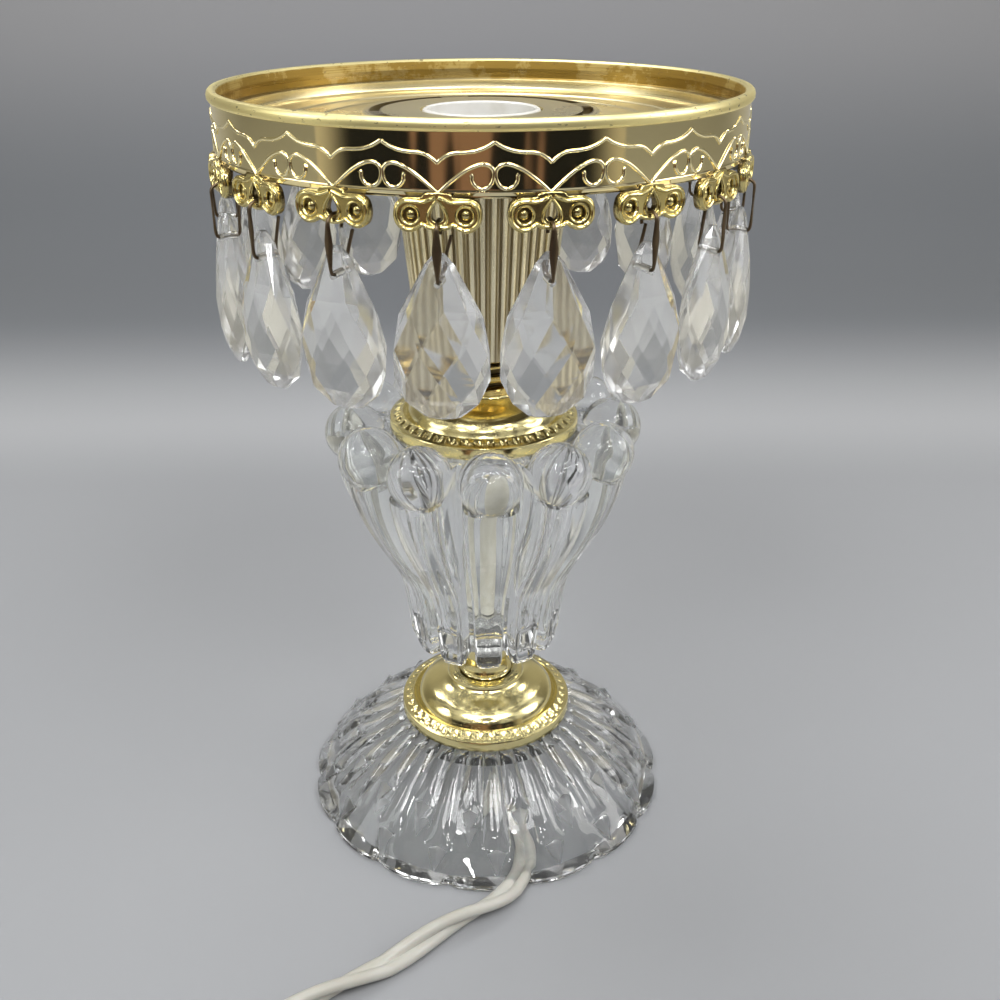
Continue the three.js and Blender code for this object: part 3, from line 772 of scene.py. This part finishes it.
BORE = 5.5
turned_in_place("lower_spindle", "spindle_turned", [
    (BORE, 16.3), (BORE, 0), (8.3, 0), (8.6, 0.3), (8.6, 1.7), (8.3, 2), (7.4, 2.3), (6.9, 3.4), (6.8, 6),
    (7.3, 7.2), (7.3, 8.2), (6.8, 9.4), (6.9, 12.8), (7.6, 13.8), (8.3, 14.2), (8.6, 14.6), (8.6, 16),
    (8.3, 16.3)])
turned_in_place("vase_gasket", "gasket_turned", [
    (BORE, 1.5), (BORE, 0), (9.1, 0), (9.4, 0.4), (9.4, 1.1), (9.1, 1.5)],
    finish=rubber, slot="gasket_rubber")
sleeve_foot, sleeve_top = (corner.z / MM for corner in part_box("rod_sleeve"))
sleeve_end = sleeve_top - sleeve_foot - 0.2
turned_in_place("rod_sleeve", "sleeve_tube", [
    (5.15, 0.2), (5.75, 0.2), (5.75, sleeve_end), (5.15, sleeve_end)],
    48, finish=sleeve_paper, slot="rod_sleeve")


def neck_brass():
    f = Finish("neck_brass", metallic=1.0)
    # The grooves between the rings are painted near black as shade.
    groove_shade = 1 - f.share(f.radius(), 10.7, 11.2)
    cloud = f.noise(3, detail=5)
    return f.done(base_color=f.mix(groove_shade * (cloud * 0.3 + 0.78), (0.83, 0.62, 0.22), (0.03, 0.022, 0.014)),
                  roughness=groove_shade * 0.3 + cloud * 0.12 + 0.08, normal=f.bump(cloud, depth=0.02, strength=0.3))


turned_in_place("upper_neck", "neck_turned", [
    (BORE, 11.9), (BORE, 0), (12.3, 0), (12.6, 0.4), (12.6, 1.7), (12.3, 2.1), (11.4, 2.3), (10.3, 2.8),
    (10.2, 3.6), (11.2, 4), (11.9, 4.1), (12.1, 4.5), (12.1, 5.3), (11.8, 5.7), (11, 5.9), (10.1, 6.3),
    (10.1, 7.4), (11, 7.8), (11.5, 8), (11.6, 8.5), (11.5, 8.9), (10.8, 9.1), (9.9, 9.5), (9.9, 10.9),
    (10.8, 11.2), (11.4, 11.4), (11.4, 11.9)], finish=neck_brass(), slot="neck_brass")
print("spindle, gasket and neck")

# %% [markdown]
# The screw shell's thread is a rounded wave that climbs one turn every 3.6 mm. It is the same rule as a
# flute, except that the azimuth shifts the wave upwards.

# %% Socket and shell
turned_in_place("socket_body", "porcelain_socket", [
    (BORE, 0), (11.9, 0), (13.9, 2.6), (15.2, 9), (15.8, 22), (15.8, 61.9), (15.5, 62.6), (15, 62.9),
    (14.8, 62.9), (14.3, 62.5), (14.2, 61.8), (14.2, 26.1), (9.2, 26.1), (9.2, 20), (3.6, 20), (3.6, 7.3),
    (BORE, 7.3)], finish=porcelain, slot="porcelain")
THREAD_PITCH = 3.6


def thread(radius, azimuth, height):
    wave = math.cos(2 * math.pi * (height / THREAD_PITCH - azimuth / 360))
    return (radius - 0.35 * (1 + wave) if radius > 12.5 else radius), height


shell_foot, shell_top = (corner.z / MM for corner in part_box("screw_shell"))
STEPS = 54
heights = [shell_foot + 0.8 + (shell_top - shell_foot - 1.2) * step / STEPS for step in range(STEPS + 1)]
outside = [(13.9, height) for height in heights + [shell_top]]
inside = [(13.3, height) for height in [shell_top] + heights[::-1]]
shell = turned("thread_shell", [(9.9, shell_foot), (13.9, shell_foot)] + outside + inside
               + [(9.9, shell_foot + 0.6)], 96)
hand_over(moved(shell, thread), shell_metal, "shell_aluminium", "screw_shell", smooth=50)
print("thread of", round((shell_top - shell_foot) / THREAD_PITCH), "turns")

# %% [markdown]
# ## The fluted cover
# The cover that hides the socket is thin metal with forty-eight flutes. Each flute has a flat crest, two
# sharp edges that catch the light and a shallow bead in its valley, and the whole widens upwards.

# %% Cover
COVER_FLUTES = 48
COVER_HEIGHT = 62.3


def cover_groove(side):
    side = abs(side) / (180 / COVER_FLUTES)
    if side < 0.4:
        return 0.1 * (side / 0.4) ** 2
    if side < 0.5:
        return 0.1 + 0.65 * (side - 0.4) / 0.1
    return 0.75 - 0.35 * ease((side - 0.6) / 0.3)


def cover_gilding():
    """Pale gilding with painted shade in the valleys, and streaks that run up the flutes."""
    f = Finish("cover_gilding", metallic=1.0)
    turn = f.azimuth() * (COVER_FLUTES / (2 * math.pi))
    side = f.math("PINGPONG", turn, 0.5) * 2
    upright = f.node("ShaderNodeCombineXYZ", {}, {0: turn * 2.6, 2: f.axis("Z") * 0.012})
    streak = f.noise(1, detail=3, place=upright)
    valley_shade = f.share(side, 0.4, 0.52)
    dark = f.share(streak, 0.46, 0.6)
    # The valleys are painted darker as shade.
    tone = f.mix(valley_shade * 0.62 + dark * 0.3, (0.95, 0.86, 0.60), (0.30, 0.24, 0.14))
    return f.done(base_color=tone, roughness=streak * 0.3 + valley_shade * 0.12 + 0.1,
                  normal=f.bump(streak, depth=0.12, strength=0.5))


def cover_outline(azimuth):
    side, _ = off_centre(azimuth, 0, 360 / COVER_FLUTES)
    groove = cover_groove(side)
    outline = [(BORE, 1.5), (BORE, 0), (17.4, 0), (18.4, 0.15)]
    for step in range(11):
        share = step / 10
        level = 0.6 + (COVER_HEIGHT - 1.2) * share
        flute = min(1, 8 * share, 14 * (1 - share) + 0.2)
        outline.append((19 + 6.1 * level / COVER_HEIGHT - groove * flute, level))
    outline += [(24.9, COVER_HEIGHT), (24.2, COVER_HEIGHT), (23.4, COVER_HEIGHT - 0.4), (17.4, 1.8)]
    return raised(outline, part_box("fluted_cover")[0].z / MM)


cover = shaped("socket_cover", cover_outline, COVER_FLUTES * 20)
hand_over(cover, cover_gilding(), "gold_plate", "fluted_cover", smooth=25)
print("cover faces", len(cover.data.polygons))

# %% [markdown]
# ## The glass vase
# The vase is one piece of pressed glass: a flared cup with twelve ribs, whose feet hang below its floor like
# the ends of test tubes and whose heads are balls. Again the outline changes with the azimuth: a rib has a
# slightly hollow face between sharp edges, and a ball is a circle whose size falls off to its side.

# %% Vase
RIBS = 12
FIRST_RIB = 2.5
RIB_HALF = 12.2
BALL_CIRCLE = 38.5
BALL = 9.0
FLOOR_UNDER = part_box("vase_gasket")[1].z / MM + 0.3
BALL_LEVEL = 68.7
CAVITY = [(69.5, 26), (60, 24.3), (50.5, 22), (40, 19.3), (30, 17), (18, 15.8), (9, 15)]
TIP_STEPS = 10
WALL_STEPS = 34
BALL_STEPS = 20
WEB = smoothed([(0, 17.6), (4, 17.8), (8, 19.2), (17, 20.6), (31, 24), (46, 29), (59, 31), (71, 31)])
RIB = smoothed([(0, 23.8), (4, 24.2), (9, 24.8), (16.5, 25.3), (24, 27.3), (31, 31), (38, 35), (45.5, 38.7),
                (53, 41.6), (58, 43), (61.3, 43.7)])


def vase_outline(azimuth):
    side, _ = off_centre(azimuth, FIRST_RIB, 360 / RIBS)
    crown = math.sqrt(max(0, 1 - (side / RIB_HALF) ** 6))
    offset = BALL_CIRCLE * math.sin(math.radians(abs(side)))
    ball = math.sqrt(max(0, BALL ** 2 - offset ** 2))
    low = min(0, 2 - 5.1 * crown)
    foot = 17.6 + 6.2 * crown
    outline = [(5.6, 5.5), (5.6, 0), (12, 0), (16.4, 0)]
    for step in range(1, TIP_STEPS):
        across = step / TIP_STEPS
        tip = math.sqrt(max(0, 1 - (2 * across - 1) ** 2)) ** 0.8
        outline.append((17 + (foot - 17) * across, low * tip))
    centre = BALL_CIRCLE * math.cos(math.radians(side))
    start = math.radians(-55 - 65 * (1 - crown))
    has_ball = ball > 2.2
    joint = BALL_LEVEL + ball * math.sin(start) if has_ball else 69.5
    for step in range(WALL_STEPS):
        level = 0.6 + (joint - 1.2) * step / (WALL_STEPS - 1)
        web = between(WEB, level)
        hollow = 1.35 * ease((level - 8) / 8) * (side / RIB_HALF) ** 2
        rib = between(RIB, level) / math.cos(math.radians(side)) + hollow
        outline.append((web + (rib - web) * crown, level))
    shares = [step / (BALL_STEPS - 1) for step in range(BALL_STEPS)]
    if has_ball:
        end = math.pi - math.asin(2 / ball)
        turns = [start + (end - start) * share for share in shares]
        outline += [(centre + ball * math.cos(turn), BALL_LEVEL + ball * math.sin(turn)) for turn in turns]
        rim = centre + ball * math.cos(end)
    else:
        outline += [(31 - 0.38 * share, 69.7 + 0.95 * share) for share in shares]
        rim = 30.2
    outline += [(min(rim - 0.2, 30.2), 70.7), (27, 70.7), (26.4, 70.4)]
    outline += [(radius, level) for level, radius in smoothed(CAVITY)] + [(14.4, 6.6), (13, 5.5)]
    return raised(outline, FLOOR_UNDER)


vase = shaped("ribbed_vase", vase_outline, 480)
hand_over(vase, pressed_glass, "pressed_glass", "glass_vase", smooth=50)
print("vase faces", len(vase.data.polygons))

# %% [markdown]
# ## The gallery ring
# The ring that holds a shade is thin gilt metal: a rolled lip, a bright band, a ledge inside for the foot of
# the shade, a floor and a raised middle plate. Four curved vents are cut out of it with a Boolean modifier.

# %% Ring
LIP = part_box("gallery_ring")[1].z / MM
BAND = 69.4
CROSSING = LIP - 15.4
RING_OUTLINE = [
    (16.3, -6.7), (26, -6.7), (30.6, -6.7), (31.3, -7), (31.8, -8.6), (32.6, -8.9), (43.6, -8.9), (44, -8.65),
    (44.4, -8.9), (52.6, -8.9), (53, -8.6), (53.8, -8.6), (54.2, -8.9), (64.8, -8.9), (65.5, -8.5),
    (65.8, -7.9), (65.8, -6.1), (66.1, -5.8), (67.1, -5.8), (67.4, -5.5), (67.5, -2), (67.7, -0.7),
    (68.3, -0.1), (69, 0), (69.6, -0.15), (70.05, -0.6), (70.25, -1.3), (70.2, -2.1), (69.85, -2.6),
    (BAND, -2.8), (BAND, -3.1), (BAND, -6), (BAND, -9), (BAND, -14.4), (BAND, -14.7), (69.48, -14.85),
    (69.5, -15), (69.48, -15.15), (BAND, -15.3), (BAND, -16), (69.1, -16.35), (67.6, -16.35), (67.4, -16),
    (67.4, -11.2), (66.6, -10.7), (32, -10.7), (31, -8.6), (16.3, -8.5)]
VENTS = 4


def vent_cutter(middle):
    """A curved bar: a small upright square that is spun round the axis."""
    bpy.ops.mesh.primitive_plane_add(size=1, rotation=(math.pi / 2, 0, math.radians(middle - 127)),
                                     location=around(28.1, middle - 37, LIP - 7.6))
    cutter = bpy.context.object
    cutter.scale = (0.0026, 0.006, 1)
    bpy.ops.object.transform_apply(location=True, rotation=True, scale=True)
    edit_all()
    bpy.ops.mesh.spin(steps=30, angle=math.radians(74), center=(0, 0, 0), axis=(0, 0, 1))
    bpy.ops.mesh.select_all(action="SELECT")
    bpy.ops.mesh.remove_doubles(threshold=WELD)
    bpy.ops.mesh.fill_holes(sides=4)
    outwards()
    return cutter


def cut_by(piece, cutter):
    only(piece)
    cut = piece.modifiers.new("cut", "BOOLEAN")
    cut.operation = "DIFFERENCE"
    cut.solver = "EXACT"
    cut.object = cutter
    bpy.ops.object.modifier_apply(modifier=cut.name)
    bpy.data.objects.remove(cutter)


ring = turned("gallery_band", raised(RING_OUTLINE, LIP), 288)
for vent in range(VENTS):
    cut_by(ring, vent_cutter(45 + 90 * vent))
print("ring faces", len(ring.data.polygons))

# %% [markdown]
# Its gilding is matte on the lip, brushed and stained inside and dark at the vents, and painted shade darkens
# its underside. Masks made from the radius and the height say where each of these looks begins.

# %% Gilding of the ring
def ring_gilding():
    f = Finish("ring_gilding", metallic=1.0)
    radius, height = f.radius(), f.axis("Z")
    lip = f.share(height, LIP - 3.0, LIP - 2.6)
    inside = 1 - f.share(radius, 67.6, 68)
    cloud = f.noise(8, detail=6, rough=0.65)
    brushed = f.noise(1, detail=3, place=f.stretched(0.03, 0.03, 3.2))
    scratches = f.share(f.noise(1, detail=4, place=f.stretched(0.5, 0.5, 1.4)), 0.62, 0.7)
    vent = 1 - f.share(f.math("ABSOLUTE", radius - 28.1), 1.3, 1.9)
    wall = inside * f.share(radius, 65.6, 66.2)
    floor = inside * (1 - f.share(radius, 64.6, 65.2))
    blotch = f.share(f.noise(16, detail=5, rough=0.7), 0.42, 0.62)
    tone = f.mix(lip * (cloud * 0.3 + 0.7), (0.88, 0.77, 0.46), (1.0, 0.88, 0.42))
    tone = f.mix(floor * (brushed * 0.4 + 0.4), tone, (0.80, 0.72, 0.46))
    tone = f.mix(wall * (brushed * 0.4 + blotch * 0.6 + 0.6), tone, (0.30, 0.20, 0.05))
    tone = f.mix(scratches * lip * 0.7 + vent * 0.75, tone, (0.20, 0.14, 0.07))
    # Painted shade darkens the underside of the floor and the skirt below it.
    underside_shade = inside * (1 - f.share(height, LIP - 10.66, LIP - 10.3))
    tone = f.mix(underside_shade * 0.9, tone, (0.11, 0.085, 0.05))
    rough = lip * 0.3 + inside * (brushed * 0.25 + 0.1) + cloud * 0.05 + 0.05
    return f.done(base_color=tone, roughness=rough,
                  normal=f.bump(brushed * inside + scratches * lip, depth=0.02, strength=0.35))


hand_over(ring, ring_gilding(), "gold_plate", "gallery_ring", smooth=30)
print("ring gilded")

# %% [markdown]
# ## Line work and hanger lobes
# Raised lines run round the band: a wavy line above, and below it arches that curl into scrolls and cross
# just above each crystal. The pattern repeats every 20 degrees, so one stretch of it is drawn as bevelled
# curves on a flat sheet, in millimetres to the side of a crossing and above it, and wrapped round the band.

# %% Lines of one stretch
PITCH = 20.0
OGEE = [(0, 6.3), (0.5, 6.8), (1, 7.2), (2.3, 8), (3.9, 8.4), (5.9, 8.5), (7.9, 8.75), (9.8, 9.35),
        (11.1, 10), (12.1, 10.6)]
ARCH = [(0, 0), (1.6, 1.5), (3.9, 3.4), (5.9, 4.8), (7.9, 5.75), (9.4, 6.15), (10.6, 6), (11.5, 5.4),
        (11.9, 4.5), (11.8, 3.2), (11.2, 1.9), (10.1, 1.15), (8.9, 1.15), (7.9, 1.8), (7.3, 2.8), (7.3, 3.7),
        (7.0, 4.1)]
EYE = Vector((5.95, -4.3))
EYE_RADIUS = 1.9
LOBE_BORDER = [(0.3, -0.5), (1.6, -1.0), (3.4, -1.5), (5.4, -1.35), (7.2, -1.45), (8.6, -2.5), (9, -4.3),
               (8.5, -6), (7.2, -7.1), (5.8, -7.3), (4.4, -6.8), (3.4, -6.2), (2.2, -6.7), (0, -7)]
TEARDROP = [(0, -0.9), (-0.8, -1.9), (-1.7, -3.3), (-2.1, -4.6), (-1.9, -5.7), (-1.1, -6.4), (0, -6.6)]


def mirrored(line):
    return [(-side, rise) for side, rise in line]


def closed_by_mirror(half):
    return half + mirrored(reversed(half[1:-1]))


def on_band(side, rise):
    return around(BAND, math.degrees(side / BAND), CROSSING + rise)


def on_plate(side, rise, proud=0.5):
    return Vector((side, -(BAND + 0.6 + proud), CROSSING + rise)) * MM


def wire(name, points, radius):
    curve = curve_of(name, points)
    curve.data.bevel_depth = radius * MM
    curve.data.bevel_resolution = 2
    curve.data.use_fill_caps = True
    return made_mesh(curve)


def raised_lines(name, place, *halves):
    """Half lines and their mirror images as wires."""
    return [wire(name, [place(*spot) for spot in smoothed(line, 5)], thickness)
            for half, thickness in halves for line in (half, mirrored(half))]


def joined(name, parts):
    only(parts[0])
    for part in parts:
        part.select_set(True)
    bpy.ops.object.join()
    parts[0].name = name
    return parts[0]


relief = joined("band_lines_00", raised_lines("line", on_band, (OGEE, 0.42), (ARCH, 0.45)))
print("lines of one stretch", len(relief.data.polygons), "faces")

# %% [markdown]
# A lobe is a small plate with a raised border, two eyelets that are cups with a domed middle, and a teardrop
# opening. It is a filled flat curve with a thickness and a rounded edge, stood upright before the band.

# %% Lobe
PLATE = [(0, 0.3), (2.6, 0), (3.4, -0.75), (5.4, -0.8), (7.3, -0.95), (8.9, -2), (9.45, -4.3), (8.9, -6.3),
         (7.4, -7.6), (5.8, -7.8), (4.3, -7.3), (3.3, -6.7), (2.2, -7.2), (0, -7.5)]


def lobe_plate():
    opening = [(side * 0.72, rise * 0.82 - 0.5) for side, rise in TEARDROP]
    outlines = [closed_by_mirror(smoothed(PLATE, 4)), closed_by_mirror(smoothed(opening, 3))]
    turns = [step * math.pi / 14 for step in range(28)]
    circle = [(EYE_RADIUS * math.cos(turn), EYE_RADIUS * math.sin(turn)) for turn in turns]
    outlines += [[(side * EYE.x + x, EYE.y + y) for x, y in circle] for side in (-1, 1)]
    places = [[(side * MM, rise * MM, 0) for side, rise in outline] for outline in outlines]
    plate = curve_of("lobe_plate", *places, flat=True)
    plate.data.fill_mode = "BOTH"
    plate.data.extrude = 0.8 * MM
    plate.data.bevel_depth = 0.15 * MM
    plate.data.bevel_resolution = 1
    plate = made_mesh(plate)
    for point in plate.data.vertices:
        side, rise, depth = point.co / MM
        point.co = on_plate(side, rise, depth - 0.45)
    return plate


def eyelet(side):
    outline = [(2.0, -0.6), (2.3, -0.3), (2.35, 0.3), (2.2, 0.62), (1.95, 0.7), (1.7, 0.55), (1.55, 0.1),
               (1.5, -0.35), (1.2, -0.35), (0.9, -0.05), (0.5, 0.16), (0.12, 0.22), (0.1, -0.6)]
    cup = turned("eyelet", outline, 28)
    for point in cup.data.vertices:
        across, up, depth = point.co / MM
        point.co = on_plate(side * EYE.x + across, EYE.y + up, depth)
    return cup


border = raised_lines("border", on_plate, (LOBE_BORDER, 0.5), (TEARDROP, 0.36))
lobe = joined("hanger_lobe_00", [lobe_plate(), eyelet(-1), eyelet(1)] + border)
print("lobe", len(lobe.data.polygons), "faces")

# %% [markdown]
# The two are copied round the ring. Each copy's own mesh is turned, so that the object stays unturned.

# %% Eighteen stretches
def lobe_metal():
    """Olive gold, dark inside the cups of the eyelets."""
    f = Finish("lobe_gilding", metallic=1.0)
    cloud = f.noise(5, detail=5)
    deep = 1 - f.share(f.radius(), BAND + 0.45, BAND + 1.15)
    tone = f.mix(f.share(cloud, 0.4, 0.75) * 0.5, (0.72, 0.61, 0.27), (0.34, 0.27, 0.10))
    return f.done(base_color=f.mix(deep * 0.8, tone, (0.10, 0.07, 0.05)), roughness=cloud * 0.25 + 0.08,
                  normal=f.bump(cloud, depth=0.03, strength=0.3))


STRETCHES = 18
FIRST_STRETCH = 12.2


def copies_round(first, finish, slot, smooth, node=None):
    """Makes the eighteen from a first one that faces the front and is numbered 00."""
    for number in range(STRETCHES):
        tag = f"{number + 1:02d}"
        copy = first.copy()
        copy.data = first.data.copy()
        copy.name = first.name[:-2] + tag
        bpy.context.scene.collection.objects.link(copy)
        copy.data.transform(Matrix.Rotation(math.radians(FIRST_STRETCH + PITCH * number), 4, "Z"))
        if node:
            hand_over(copy, finish, slot, node + tag, body="drop_" + tag, smooth=smooth)
        else:
            hand_over(copy, finish, slot, smooth=smooth)
    bpy.data.objects.remove(first)


line_gilding = metal("line_gilding", (0.93, 0.84, 0.53), (0.60, 0.50, 0.26), (0.14, 0.3), wear=0.45)
copies_round(relief, line_gilding, "gold_plate", 60)
copies_round(lobe, lobe_metal(), "gold_plate", 45)
print("stretches", STRETCHES)

# %% [markdown]
# ## Pins
# Each crystal hangs on a pin of bent bronze wire. Its front leg is hammered to a long diamond, its foot goes
# through the hole of the crystal, and the end of its back leg sticks out to the side.

# %% Pin
HANGER = 69.3
WIRE = 0.42
INSET = 0.45
PIN_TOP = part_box("drop_pin_01")[1].z / MM - INSET
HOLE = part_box("drop_pin_01")[0].z / MM + INSET
pin_line = [(0, 2.0, PIN_TOP - 3.4), (0.1, 2.4, PIN_TOP - 1.2), (0, 1.2, PIN_TOP), (0, -1.2, PIN_TOP),
            (0, -2.9, PIN_TOP - 1.1), (0, -3.1, PIN_TOP - 4), (0, -3.1, PIN_TOP - 8.5), (0, -2.9, HOLE + 0.9),
            (0, -1.6, HOLE), (0, 1.6, HOLE), (0, 2.9, HOLE + 0.9), (0.5, 3, HOLE + 3.5), (1.5, 3.1, HOLE + 7),
            (2.2, 3.2, HOLE + 9.4)]
pin_places = [Vector((x, y - HANGER, z)) * MM for x, y, z in pin_line]
pin = wire("drop_wire_00", through(pin_places, 5), WIRE)
leg = -(HANGER + 3.1) * MM
for point in pin.data.vertices:
    if point.co.y < -(HANGER + 2.2) * MM:
        spread = max(0, 1 - abs(point.co.z / MM - HOLE - 7) / 5.6)
        point.co.x *= 1 + 1.7 * spread
        point.co.y += (leg - point.co.y) * 0.35 * spread
copies_round(pin, bronze, "pin_bronze", 50, "drop_pin_")
print("pins hang from", round(PIN_TOP, 1), "to", round(HOLE, 1))

# %% [markdown]
# ## Crystals
# A crystal is a flat teardrop that is cut all over into facets. Rings of eight points are extruded downwards.
# The upper ones stay in line, which gives long facets, and two of the lower ones are turned by half a step,
# which gives the diamonds. The facets stay flat shaded.

# %% Crystal
DROP_RINGS = [(198.2, 1.2, 0.8, 0), (195.8, 3.3, 1.9, 0), (184.2, 9.6, 3.9, 0), (176.0, 11.6, 4.5, 1),
              (169.6, 11.15, 4.4, 0), (164.0, 9.2, 3.4, 1), (160.2, 4.4, 1.6, 0), (159.7, 1.6, 0.7, 0)]
DROP_POINTS = 8
DROP_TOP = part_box("crystal_drop_01")[1].z / MM


def cut_drop():
    bpy.ops.mesh.primitive_circle_add(vertices=DROP_POINTS, radius=10 * MM, fill_type="NGON")
    drop = bpy.context.object
    drop.name = "cut_crystal_00"
    edit_all()
    for ring, next_ring in zip(DROP_RINGS, DROP_RINGS[1:]):
        extrude(0, 0, -MM)
        bpy.ops.transform.rotate(value=(next_ring[3] - ring[3]) * math.pi / DROP_POINTS, orient_axis="Z",
                                 center_override=(0, 0, 0))
    bpy.ops.mesh.select_all(action="SELECT")
    bpy.ops.mesh.quads_convert_to_tris(quad_method="SHORTEST_DIAGONAL")
    outwards()
    for point in drop.data.vertices:
        level, width, depth, _ = DROP_RINGS[round(-point.co.z / MM)]
        across, out = point.co.x / (10 * MM), point.co.y / (10 * MM)
        point.co = Vector((across * width, out * depth - HANGER, level - DROP_RINGS[0][0] + DROP_TOP)) * MM
    return drop


drop = cut_drop()
bpy.ops.mesh.primitive_cylinder_add(vertices=16, radius=0.95 * MM, depth=14 * MM,
                                    rotation=(math.pi / 2, 0, 0), location=Vector((0, -HANGER, HOLE)) * MM)
cut_by(drop, bpy.context.object)
print("crystal", len(drop.data.polygons), "facets")
copies_round(drop, crystal, "crystal", 0, "crystal_drop_")

# %% [markdown]
# ## What stays as measured
# The pipe, the nuts, the contact, the switch and the plug have their true shape, so they only get a finish.

# %% Finishes of the measured solids
for finish, names in ((steel, ["threaded_pipe", "base_nut", "vase_nut"]), (ivory, ON_FLEX[:3]),
                      (contact, ["centre_contact"] + ON_FLEX[3:])):
    for name in names:
        for material_slot in nodes[name].material_slots:
            material_slot.material = finish
print("finished solids")
